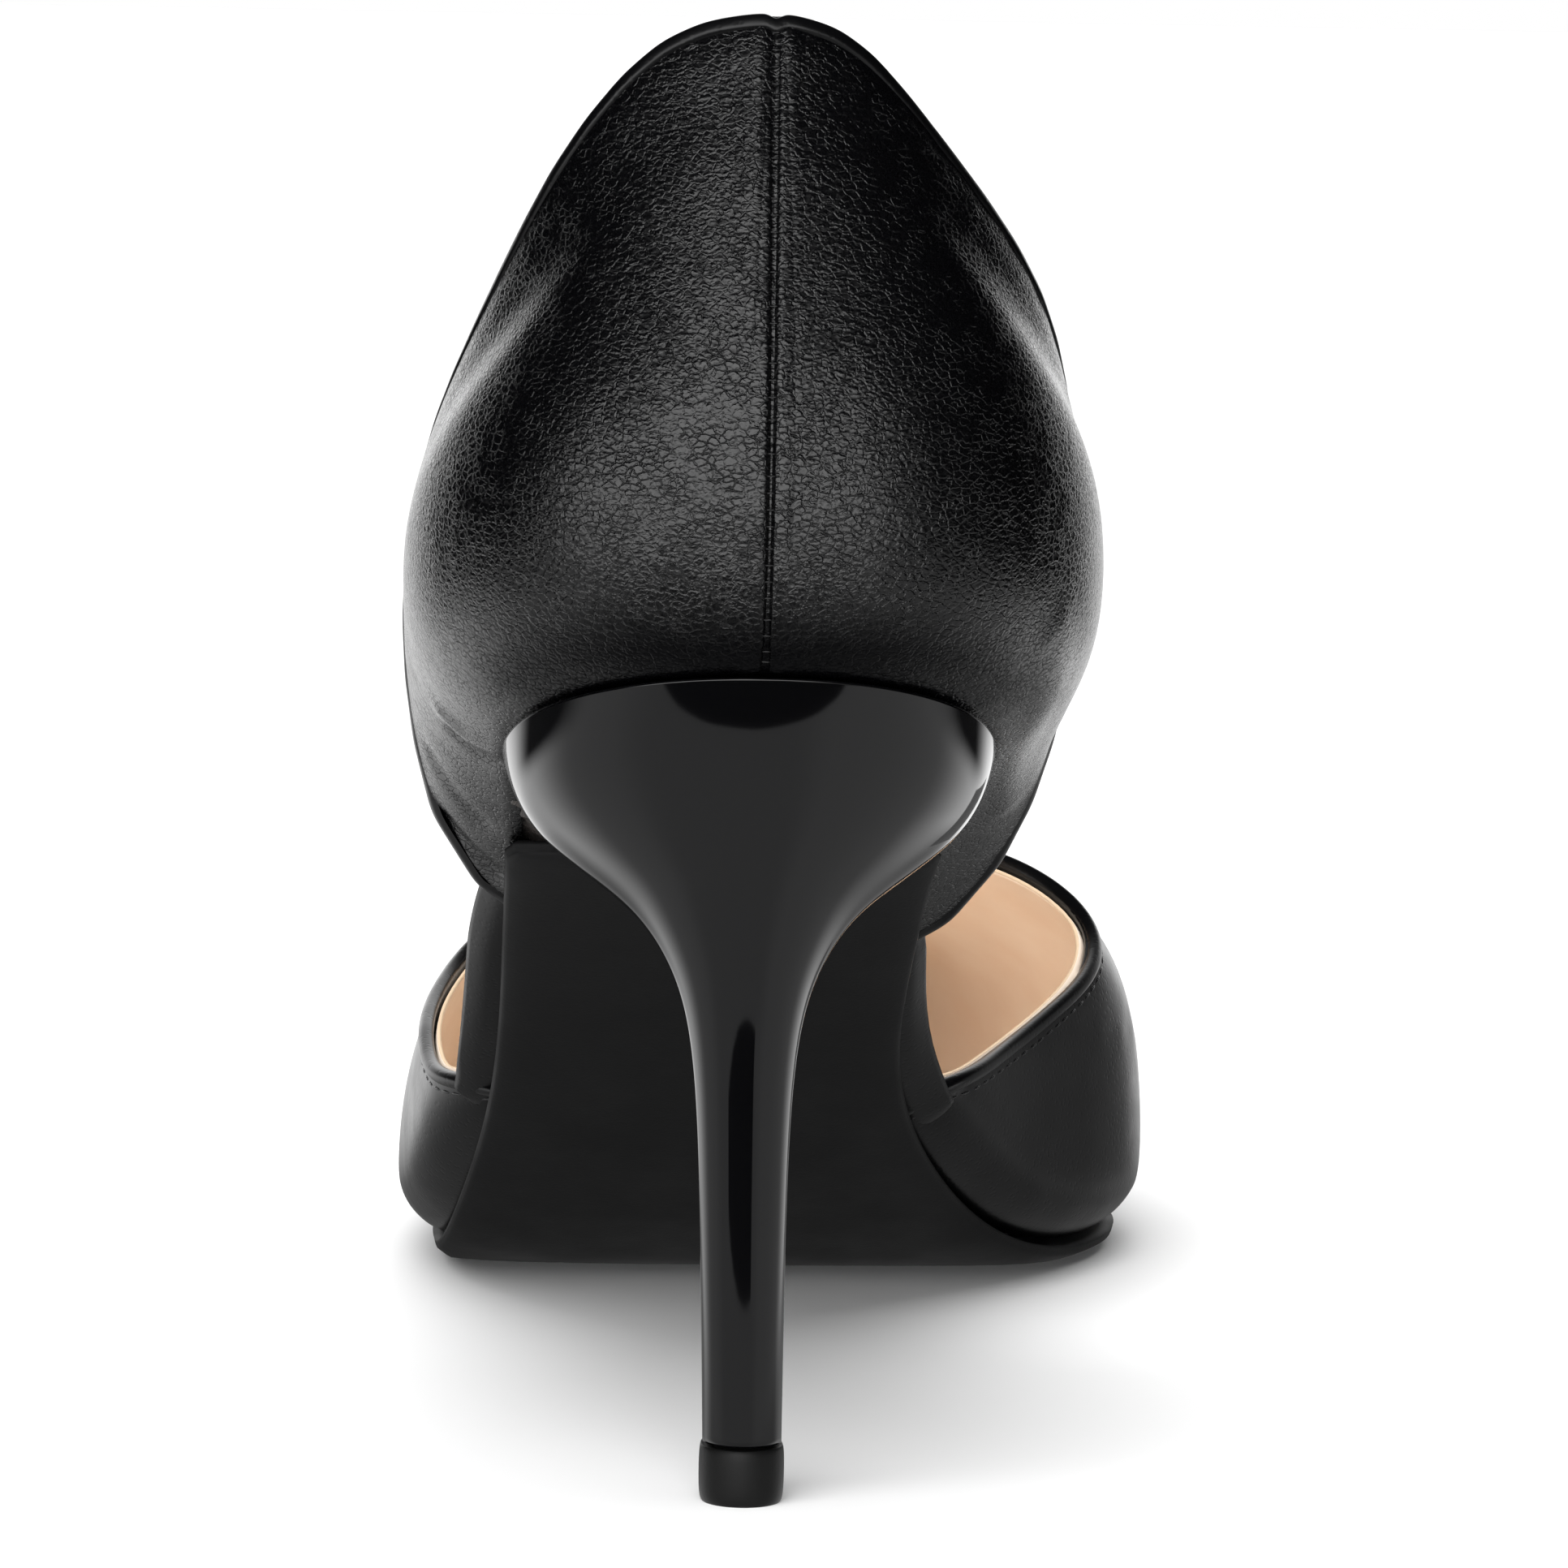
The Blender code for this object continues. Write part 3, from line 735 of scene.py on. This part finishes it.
pebble_tops = add_node(
    tree,
    "ShaderNodeMapRange",
    {
        "Value": pebbles.outputs["Distance"],
        "From Min": 0.15,
        "From Max": 0.75,
        "To Min": 1.0,
        "To Max": 0.0,
    },
)
axes = add_node(tree, "ShaderNodeSeparateXYZ", {"Vector": place})
leaned = add_node(
    tree, "ShaderNodeVectorRotate", {"Vector": place, "Angle": math.radians(30)}, rotation_type="X_AXIS"
)
streak_way = add_node(
    tree, "ShaderNodeMapping", {"Vector": leaned.outputs["Vector"], "Scale": (1.0, 1.0, 0.12)}
)
streaks = add_node(
    tree,
    "ShaderNodeTexNoise",
    {"Vector": streak_way.outputs["Vector"], "Scale": 1 / (STREAK * MM), "Detail": 2.0},
)
waist = add_node(
    tree,
    "ShaderNodeMapRange",
    {"Value": axes.outputs["Y"], "From Min": -98 * MM, "From Max": -82 * MM},
    interpolation_type="SMOOTHSTEP",
)
below_top = add_node(
    tree,
    "ShaderNodeMapRange",
    {"Value": axes.outputs["Z"], "From Min": 96 * MM, "From Max": 84 * MM},
    interpolation_type="SMOOTHSTEP",
)
streaked = add_node(
    tree,
    "ShaderNodeMath",
    {0: waist.outputs["Result"], 1: below_top.outputs["Result"]},
    operation="MULTIPLY",
)
grain = add_node(
    tree,
    "ShaderNodeMix",
    {0: streaked.outputs["Value"], 2: pebble_tops.outputs["Result"], 3: streaks.outputs["Fac"]},
    data_type="FLOAT",
)
pebble_bump = add_node(
    tree, "ShaderNodeBump", {"Strength": 0.6, "Distance": 0.07 * MM, "Height": grain.outputs[0]}
)
grain_bump = add_node(
    tree,
    "ShaderNodeBump",
    {
        "Strength": crease_depth.outputs["Result"],
        "Distance": 0.085 * MM,
        "Height": creases.outputs["Result"],
        "Normal": pebble_bump.outputs["Normal"],
    },
)
gloss = add_node(tree, "ShaderNodeMapRange", {"Value": grain.outputs[0], "To Min": 0.32, "To Max": 0.21})
seat = add_node(tree, "ShaderNodeAttribute", {}, attribute_name="seat_shade_share")
# Painted shade: the leather's gloss is turned down near the heel seat, so that it darkens there
shaded_gloss = add_node(tree, "ShaderNodeMapRange", {"Value": seat.outputs["Fac"], "To Min": 0.5, "To Max": 0.06})
tree.links.new(gloss.outputs["Result"], shader.inputs["Roughness"])
tree.links.new(shaded_gloss.outputs["Result"], shader.inputs["Specular IOR Level"])
tree.links.new(grain_bump.outputs["Normal"], shader.inputs["Normal"])
quarter.data.materials.append(pebbled)
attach(quarter, "root")
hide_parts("quarter")

# Top edge fold
# The quarter's leather turned in over the top edge and glued down, a thin flat band with a small dip
# where the back seam meets it.
TOP_FOLD = (
    (1.6, -0.4), (1.35, -0.1), (1.2, 0.06), (0.95, 0.12), (0.5, 0.13), (0.18, 0.04), (0.02, -0.2),
    (0.0, -0.6), (0.05, -1.1), (0.3, 0.1 - LEATHER), (0.7, -LEATHER), (1.5, 0.1 - LEATHER),
)
SEAM_DIP, SEAM_DIP_WIDTH, SEAM_DIP_ABOVE = 0.45 * MM, 0.6 * MM, 130 * MM
dip = SEAM_DIP * bell(top_line[:, 0], SEAM, SEAM_DIP_WIDTH) * (top_line[:, 2] > SEAM_DIP_ABOVE)
top_fold = sweep("top_edge_fold", top_line + top_away * dip[:, None], top_away, top_out, TOP_FOLD)
top_fold.data.materials.append(wrap_leather)
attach(top_fold, "root")

# Back seam
# The two halves of pebbled leather are sewn face to face and opened out. High up the right half rolls
# over the groove as a lip, and lower down the two seam allowances show through as ridges.
SEAM_LOW, SEAM_HIGH, SEAM_STEP, SEAM_REACH = 78.2 * MM, 137.2 * MM, 0.5 * MM, 4
SEAM_SIDE, BACK_RADIUS, BEHIND, LIP_HEIGHTS = 2.6 * MM, 20.0, -0.2, (98, 106)
SEAM_PLACES = np.array((-2.9, -1.7, -0.6, -0.34, -0.06, 0.06, 0.3, 0.45, 0.8, 1.15, 1.6, 2.9))
HIGH_SECTION = np.array((-0.1, 0.0, 0.0, -0.12, -0.75, -0.75, -0.06, 0.08, 0.12, 0.1, 0.04, -0.1))
LOW_SECTION = np.array((-0.1, 0.08, 0.04, -0.1, -0.7, -0.7, -0.1, 0.02, 0.06, 0.09, 0.06, -0.1))
seam_rows = []
for height in np.arange(SEAM_LOW, SEAM_HIGH, SEAM_STEP):
    depths = []
    for side in (-SEAM_SIDE, SEAM_SIDE):
        hit, spot, _, _ = quarter.ray_cast(Vector((SEAM + side, BEHIND, height)), Vector((0, 1, 0)))
        if hit:
            depths.append(spot.y)
    if depths:
        seam_rows.append((SEAM, np.mean(depths) - SEAM_SIDE**2 / (2 * BACK_RADIUS * MM), height))
seam_line = smoothed(np.array(seam_rows), SEAM_REACH)
seam_ahead = unit(np.gradient(seam_line, axis=0))
seam_right = np.tile((1.0, 0.0, 0.0), (len(seam_line), 1))
seam_out = np.cross(seam_right, seam_ahead)
seam_out *= -np.sign(seam_out[:, 1:2])
high_share = step_up(seam_line[:, 2] / MM, *LIP_HEIGHTS)
seam_section = []
for across, high, low in zip(SEAM_PLACES, HIGH_SECTION, LOW_SECTION):
    seam_section.append((across, low + (high - low) * high_share - across**2 / (2 * BACK_RADIUS)))
back_seam = sweep("back_seam", seam_line, seam_right, seam_out, seam_section)
# Painted shade near the heel seat, as on the quarter
mark_seat_shade(back_seam)
back_seam.data.materials.append(pebbled)
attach(back_seam, "root")

# Back seam stitches
# The black polyester thread that closes the seam from inside. It shows in the groove as short ticks.
SEAM_PITCH, TICK, TICK_THREAD, TICK_LIFT = 1.65 * MM, 0.8 * MM, 0.17 * MM, 0.02 * MM
ticks = seam_line + seam_out * TICK_LIFT - seam_right * TICK_LIFT
seam_stitches = sew("back_seam_stitches", ticks, seam_out, SEAM_PITCH, TICK, TICK_THREAD, turned=True)
seam_stitches.data.materials.append(thread_black)
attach(seam_stitches, "root")

# Quarter lining
# The same tan leather, glued inside the quarter, where the heel of the foot slides in. It stops
# below the folded top edge.
QUARTER_SET_BACK = 1.2 * MM
line_inside(quarter_lining, quarter_sides, QUARTER_SET_BACK, tan_leather, cream_edge)
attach(quarter_lining, "root")

# Sock
# A thin tan leather sheet glued over the insole, under the whole foot. It is cut to meet the
# linings, and between them it stops just inside the edge of the board.
SOCK, SOCK_EDGE, SOCK_ROWS = 0.6, 1.2 * MM, 140
OVERHEAD, BOARD_HALF, BOARD_STEP = 0.2, 44 * MM, 0.5 * MM
HEIGHT_REACH, SIDE_REACH = 3, 2
HEEL_MIDDLE, TOE_MIDDLE = Vector((SEAM, -0.1, OVERHEAD)), Vector((0.006, 0.09, OVERHEAD))
DOWN, TO_HEEL, TO_TOE = Vector((0, 0, -1)), Vector((0, -1, 0)), Vector((0, 1, 0))
# Points of its cross section: share of the half width, and height in mm
SOCK_SECTION = (
    (-1.0, -1.2), (-1.0, -0.3), (-0.985, 0.0), (-0.5, 0.0), (0.0, 0.0),
    (0.5, 0.0), (0.985, 0.0), (1.0, -0.3), (1.0, -1.2),
)


def above_board(place):
    """The spot just above the insole under a place, at the height of the sock."""
    hit, spot, _, _ = insole.ray_cast(place, DOWN)
    return spot + Vector((0, 0, SOCK * MM)) if hit else None


def upper_wall(spot, way):
    """Where a way along the sock meets the inside of the upper."""
    for piece in (vamp, quarter):
        hit, meeting, _, _ = piece.ray_cast(spot, way)
        if hit:
            return meeting
    return None


rear_end = upper_wall(above_board(HEEL_MIDDLE), TO_HEEL).y
front_end = upper_wall(above_board(TOE_MIDDLE), TO_TOE).y
turns = np.linspace(0, math.pi, SOCK_ROWS)[1:-1]
sock_rows = []
for along in rear_end + (front_end - rear_end) * (1 - np.cos(turns)) / 2:
    across = np.arange(-BOARD_HALF, BOARD_HALF, BOARD_STEP)
    spots = [above_board(Vector((x, along, OVERHEAD))) for x in across]
    spots = [spot for spot in spots if spot]
    if not spots:
        continue
    centre = spots[len(spots) // 2]
    ends = []
    for side, edge in ((-1, spots[0]), (1, spots[-1])):
        wall = upper_wall(centre, Vector((side, 0, 0)))
        ends.append(wall.x if wall else edge.x - side * SOCK_EDGE)
    sock_rows.append((along, centre.z, ends[0], ends[1]))
sock_rows = np.array(sock_rows)
for column, reach in ((1, HEIGHT_REACH), (2, SIDE_REACH), (3, SIDE_REACH)):
    sock_rows[:, column] = smoothed(sock_rows[:, column : column + 1], reach)[:, 0]
along, height, left, right = sock_rows.T
sock_line = np.stack([(left + right) / 2, along, height], -1)
half_width = (right - left) / 2 / MM
sock_right = np.tile((1.0, 0.0, 0.0), (len(along), 1))
sock_up = unit(np.cross(sock_right, np.gradient(sock_line, axis=0) * (0, 1, 1)))
sock_section = [(half_width * share, lift) for share, lift in SOCK_SECTION]
sock = sweep("sock", sock_line, sock_right, sock_up, sock_section)
sock.data.materials.append(tan_leather)
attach(sock, "root")

# Outsole
# A thin moulded sole of black resin rubber, glued on from the heel's front to the toe. Its edge is
# trimmed and inked, and the tread is plain and matt.
outsole = work_copy("outsole", "outsole_sheet")
hold_edges(outsole, angle=30, share=0.92)
round_off(outsole, levels=2)
# Resin rubber from a fine-textured mould: near-black, matt, with a soft mottled sheen
SOLE_TEXTURE, SOLE_MOTTLE = 0.35, 11
sole_resin, tree, shader, place = new_finish("matt_black_resin_rubber", "#0c0c0d", 0.62, IOR=1.36)
texture = add_node(
    tree, "ShaderNodeTexNoise", {"Vector": place, "Scale": 1 / (SOLE_TEXTURE * MM), "Detail": 3.0}
)
mottle = add_node(
    tree, "ShaderNodeTexNoise", {"Vector": place, "Scale": 1 / (SOLE_MOTTLE * MM), "Detail": 4.0}
)
mottle_range = add_node(
    tree,
    "ShaderNodeMapRange",
    {"Value": mottle.outputs["Fac"], "From Min": 0.3, "From Max": 0.7, "To Min": 0.56, "To Max": 0.7},
)
sole_bump = add_node(
    tree, "ShaderNodeBump", {"Strength": 0.4, "Distance": 0.05 * MM, "Height": texture.outputs["Fac"]}
)
tree.links.new(mottle_range.outputs["Result"], shader.inputs["Roughness"])
tree.links.new(sole_bump.outputs["Normal"], shader.inputs["Normal"])
outsole.data.materials.append(sole_resin)
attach(outsole, "root")
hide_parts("outsole")

# Heel
# A slim moulded plastic core round a steel pin, sprayed with black lacquer and screwed on through
# the insole.
heel = work_copy("heel", "heel_block")
hold_edges(heel, angle=40, share=1.0)
round_off(heel, levels=3)
# Sprayed lacquer over moulded ABS: deep gloss black with a very faint ripple
RIPPLE = 4.0
lacquer, tree, shader, place = new_finish("gloss_black_lacquer", "#060607", 0.06, IOR=1.5)
ripple = add_node(tree, "ShaderNodeTexNoise", {"Vector": place, "Scale": 1 / (RIPPLE * MM), "Detail": 1.0})
ripple_bump = add_node(
    tree, "ShaderNodeBump", {"Strength": 0.15, "Distance": 0.05 * MM, "Height": ripple.outputs["Fac"]}
)
tree.links.new(ripple_bump.outputs["Normal"], shader.inputs["Normal"])
heel.data.materials.append(lacquer)
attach(heel, "root")
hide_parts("heel")

# Heel tip
# A dense rubber block on a pin that is pressed into the stem, a little wider than the lacquer
# above it.
heel_tip = work_copy("heel_tip", "heel_tip_block")
hold_edges(heel_tip, angle=40, share=1.0)
round_off(heel_tip, levels=3)
# Moulded polyurethane rubber: black, matt, finely scuffed
SCUFF = 0.5
tip_rubber, tree, shader, place = new_finish("moulded_black_polyurethane", "#0b0b0b", 0.45, IOR=1.4)
scuff = add_node(tree, "ShaderNodeTexNoise", {"Vector": place, "Scale": 1 / (SCUFF * MM), "Detail": 4.0})
scuff_bump = add_node(
    tree, "ShaderNodeBump", {"Strength": 0.3, "Distance": 0.05 * MM, "Height": scuff.outputs["Fac"]}
)
tree.links.new(scuff_bump.outputs["Normal"], shader.inputs["Normal"])
heel_tip.data.materials.append(tip_rubber)
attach(heel_tip, "root")
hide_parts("heel_tip")

# Camera
# It stands behind the heel, a little to the left and above, and looks slightly down.
PHOTO_SIDE = 1932
FOCAL_PIXELS = 10160.67
CAMERA_FROM_TIP = Vector((-34.59, -750.1, 161.94)) * MM
YAW, PITCH, ROLL = 0.0497, 0.1258, 0.0195
tip_low, tip_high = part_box("heel_tip")
tip_foot = Vector(((tip_low.x + tip_high.x) / 2, (tip_low.y + tip_high.y) / 2, 0))
forward = Vector((math.sin(YAW) * math.cos(PITCH), math.cos(YAW) * math.cos(PITCH), -math.sin(PITCH)))
level_right = Vector((math.cos(YAW), -math.sin(YAW), 0))
level_up = level_right.cross(forward)
right = math.cos(ROLL) * level_right + math.sin(ROLL) * level_up
up = math.cos(ROLL) * level_up - math.sin(ROLL) * level_right
lens = bpy.data.cameras.new("camera")
lens.sensor_width = 36.0
lens.lens = FOCAL_PIXELS / PHOTO_SIDE * lens.sensor_width
camera = bpy.data.objects.new("camera", lens)
camera.matrix_world = Matrix((right, up, -forward)).transposed().to_4x4()
camera.location = tip_foot + CAMERA_FROM_TIP
bpy.context.collection.objects.link(camera)
bpy.context.scene.camera = camera

# Floor and light
# A wide white floor under a tent: bright beyond the toe, dark at the sides, and with a soft light
# from behind the camera.
bpy.ops.object.select_all(action="DESELECT")
bpy.ops.mesh.primitive_plane_add(size=8.0, location=(0, 0, 0))
floor = bpy.context.active_object
floor.name = "floor"
floor_paint, tree, shader, place = new_finish("white_paper_glowing_in_reflections", "#ececec", 0.9, IOR=1.3)
shader.inputs["Emission Color"].default_value = (1, 1, 1, 1)
shader.inputs["Emission Strength"].default_value = 0.03
# Painted reflection: what the gloss of the shoe meets there is a glow, bright far back and beyond the toe,
# dim at the sides
HEEL_SPOT, LIT_WAY = (-0.0084, -0.1, 0), (-0.3, -0.954, 0)
offset = add_node(tree, "ShaderNodeVectorMath", {0: place, 1: HEEL_SPOT}, operation="SUBTRACT")
far = add_node(tree, "ShaderNodeVectorMath", {0: offset.outputs["Vector"]}, operation="LENGTH")
floor_way = add_node(tree, "ShaderNodeVectorMath", {0: offset.outputs["Vector"]}, operation="NORMALIZE")
lit_share = add_node(
    tree, "ShaderNodeVectorMath", {0: floor_way.outputs["Vector"], 1: LIT_WAY}, operation="DOT_PRODUCT"
)
toe_share = add_node(tree, "ShaderNodeSeparateXYZ", {"Vector": floor_way.outputs["Vector"]})
lit_side = add_node(
    tree,
    "ShaderNodeMapRange",
    {"Value": lit_share.outputs["Value"], "From Min": 0.45, "From Max": 0.8},
    interpolation_type="SMOOTHSTEP",
)
lit_level = add_node(
    tree,
    "ShaderNodeMapRange",
    {"Value": far.outputs["Value"], "From Min": 0.19, "From Max": 0.5, "To Min": 0.5, "To Max": 3.7},
)
toe_side = add_node(
    tree,
    "ShaderNodeMapRange",
    {"Value": toe_share.outputs["Y"], "From Min": 0.7, "From Max": 0.92},
    interpolation_type="SMOOTHSTEP",
)
toe_level = add_node(
    tree,
    "ShaderNodeMapRange",
    {"Value": far.outputs["Value"], "From Min": 0.12, "From Max": 0.26, "To Min": 0.7, "To Max": 1.6},
)
near_fade = add_node(
    tree,
    "ShaderNodeMapRange",
    {"Value": far.outputs["Value"], "From Min": 0.21, "From Max": 0.34, "To Min": 1.0, "To Max": 0.02},
    interpolation_type="SMOOTHSTEP",
)
near_level = add_node(
    tree,
    "ShaderNodeMapRange",
    {"Value": toe_share.outputs["Y"], "From Min": 0.2, "From Max": 0.7, "To Min": 0.62, "To Max": 1.5},
    interpolation_type="SMOOTHSTEP",
)
near_floor = add_node(
    tree,
    "ShaderNodeMath",
    {0: near_fade.outputs["Result"], 1: near_level.outputs["Result"]},
    operation="MULTIPLY",
)
lit_floor = add_node(
    tree,
    "ShaderNodeMix",
    {0: lit_side.outputs["Result"], 2: near_floor.outputs["Value"], 3: lit_level.outputs["Result"]},
    data_type="FLOAT",
)
gloss_floor = add_node(
    tree,
    "ShaderNodeMix",
    {0: toe_side.outputs["Result"], 2: lit_floor.outputs[0], 3: toe_level.outputs["Result"]},
    data_type="FLOAT",
)
# Painted shade in that glow: the shoe's own shade under its front
SHADE_SPOT, SHADE_SIZE = (0.003, 0.02, 0), (1 / 0.072, 1 / 0.12, 0)
off_shade = add_node(tree, "ShaderNodeVectorMath", {0: place, 1: SHADE_SPOT}, operation="SUBTRACT")
shade_way = add_node(
    tree, "ShaderNodeVectorMath", {0: off_shade.outputs["Vector"], 1: SHADE_SIZE}, operation="MULTIPLY"
)
shade_far = add_node(tree, "ShaderNodeVectorMath", {0: shade_way.outputs["Vector"]}, operation="LENGTH")
shade = add_node(
    tree,
    "ShaderNodeMapRange",
    {
        "Value": shade_far.outputs["Value"],
        "From Min": 0.75,
        "From Max": 1.25,
        "To Min": 0.34,
        "To Max": 1.0,
    },
    interpolation_type="SMOOTHSTEP",
)
shaded_floor = add_node(
    tree, "ShaderNodeMath", {0: gloss_floor.outputs[0], 1: shade.outputs["Result"]}, operation="MULTIPLY"
)
painted_reflection_glow = add_node(tree, "ShaderNodeEmission", {"Strength": shaded_floor.outputs["Value"]})
# Only glossy rays see the painted glow; the camera and diffuse light see white paper
ray = add_node(tree, "ShaderNodeLightPath", {})
paper = add_node(
    tree,
    "ShaderNodeMixShader",
    {0: ray.outputs["Is Glossy Ray"], 1: shader.outputs["BSDF"], 2: painted_reflection_glow.outputs["Emission"]},
)
tree.links.new(paper.outputs["Shader"], tree.nodes["Material Output"].inputs["Surface"])
floor.data.materials.append(floor_paint)


def sheet(start, end, low, high):
    """The four corners of a flat sheet, as pairs of values."""
    return (start, low), (end, low), (end, high), (start, high)


# Painted reflections: sheets that only reflections meet, dark felt close behind the heel, flat on the floor
# farther back and at both sides, and a faintly glowing grey card beside the vamp
NEAR_FELT_BACK, NEAR_FELT = -0.13, sheet(-0.048, 0.031, 0.049, 0.06)
CARD_SIDE, CARD = 0.065, sheet(0.0, 0.075, 0.0, 0.036)
SIDE_FELT_AWAY, SIDE_FELT = 0.22, sheet(-0.14, 0.12, 0.035, 0.45)
# Corners on the floor: turn to the side in degrees, and way back from the stem
STEM_BACK, FLOOR_FELT = Vector((-0.0084, -0.1, 0.0005)), sheet(-42, 20, 0.09, 0.177)
sheets = {
    "near_felt": [(x, NEAR_FELT_BACK, z) for x, z in NEAR_FELT],
    "far_felt": [
        STEM_BACK + Vector((away * math.tan(math.radians(turn)), -away, 0)) for turn, away in FLOOR_FELT
    ],
    "vamp_card": [(CARD_SIDE, y, z) for y, z in CARD],
}
for side in (-1, 1):
    sheets[f"side_felt_{side}"] = [(side * SIDE_FELT_AWAY, y, z) for y, z in SIDE_FELT]
dark_felt_for_painted_reflections, tree, shader, place = new_finish("dark_felt_for_painted_reflections", "#040404", 1.0, IOR=1.0)
# Painted reflection: the grey card glows faintly, and only the gloss of the vamp sees it
glowing_card_for_painted_reflections, tree, shader, place = new_finish("glowing_card_for_painted_reflections", "#040404", 1.0, IOR=1.0, Emission_Strength=0.22)
shader.inputs["Emission Color"].default_value = (1, 1, 1, 1)
for name, corners in sheets.items():
    felt_mesh = bpy.data.meshes.new(name)
    felt_mesh.from_pydata(corners, [], [(0, 1, 2, 3)])
    felt = bpy.data.objects.new(name, felt_mesh)
    bpy.context.collection.objects.link(felt)
    felt_mesh.materials.append(glowing_card_for_painted_reflections if name == "vamp_card" else dark_felt_for_painted_reflections)
    # Only glossy rays see these sheets, so they paint dark and glowing reflections and cast no shade
    felt.visible_camera = False
    felt.visible_diffuse = False
    felt.visible_shadow = False

world = bpy.data.worlds.new("white tent")
bpy.context.scene.world = world
world.use_nodes = True
tree = world.node_tree
tent = tree.nodes["Background"]
way = add_node(tree, "ShaderNodeTexCoord", {})
way_axes = add_node(tree, "ShaderNodeSeparateXYZ", {"Vector": way.outputs["Generated"]})
# Behind the camera a wide light stands low, and its upper part narrows and leans to the left
FRONT_LIGHT, LEANING, NARROWING = (-0.3, -0.954, -0.75), 0.18, 55
toward_front = add_node(
    tree, "ShaderNodeVectorMath", {0: way.outputs["Generated"], 1: FRONT_LIGHT}, operation="DOT_PRODUCT"
)
off_lean = add_node(tree, "ShaderNodeMath", {0: way_axes.outputs["X"], 1: LEANING}, operation="ADD")
height_by_side = add_node(
    tree, "ShaderNodeMath", {0: off_lean.outputs["Value"], 1: way_axes.outputs["Z"]}, operation="MULTIPLY"
)
squared = add_node(tree, "ShaderNodeMath", {0: height_by_side.outputs["Value"], 1: 2.0}, operation="POWER")
leaned_front = add_node(
    tree,
    "ShaderNodeMath",
    {0: squared.outputs["Value"], 1: -NARROWING, 2: toward_front.outputs["Value"]},
    operation="MULTIPLY_ADD",
)
front = add_node(
    tree,
    "ShaderNodeMapRange",
    {"Value": leaned_front.outputs["Value"], "From Min": 0.45, "From Max": 0.8, "To Max": 3.8},
    interpolation_type="SMOOTHSTEP",
)
back = add_node(
    tree,
    "ShaderNodeMapRange",
    {"Value": way_axes.outputs["Y"], "From Min": 0.72, "From Max": 0.94, "To Min": 0.01, "To Max": 2.2},
    interpolation_type="SMOOTHSTEP",
)
tent_light = add_node(
    tree, "ShaderNodeMath", {0: front.outputs["Result"], 1: back.outputs["Result"]}, operation="ADD"
)
seen = add_node(tree, "ShaderNodeLightPath", {})
shown = add_node(
    tree,
    "ShaderNodeMix",
    {0: seen.outputs["Is Camera Ray"], 2: tent_light.outputs["Value"], 3: 1.0},
    data_type="FLOAT",
)
tree.links.new(shown.outputs[0], tent.inputs["Color"])
bpy.context.scene.view_settings.view_transform = "Standard"

# Two wide silks, one overhead and one above the camera: way the light comes from, strength, spread
SILKS = {"overhead_silk": ((0, 0, 1), 2.5, 75), "camera_silk": ((-0.35, -0.7, 0.75), 3.0, 60)}
for name, (light_way, strength, spread) in SILKS.items():
    lamp = bpy.data.lights.new(name, "SUN")
    lamp.energy = strength
    lamp.angle = math.radians(spread)
    silk = bpy.data.objects.new(name, lamp)
    silk.rotation_euler = Vector(light_way).to_track_quat("Z", "Y").to_euler()
    silk.visible_glossy = False
    bpy.context.collection.objects.link(silk)
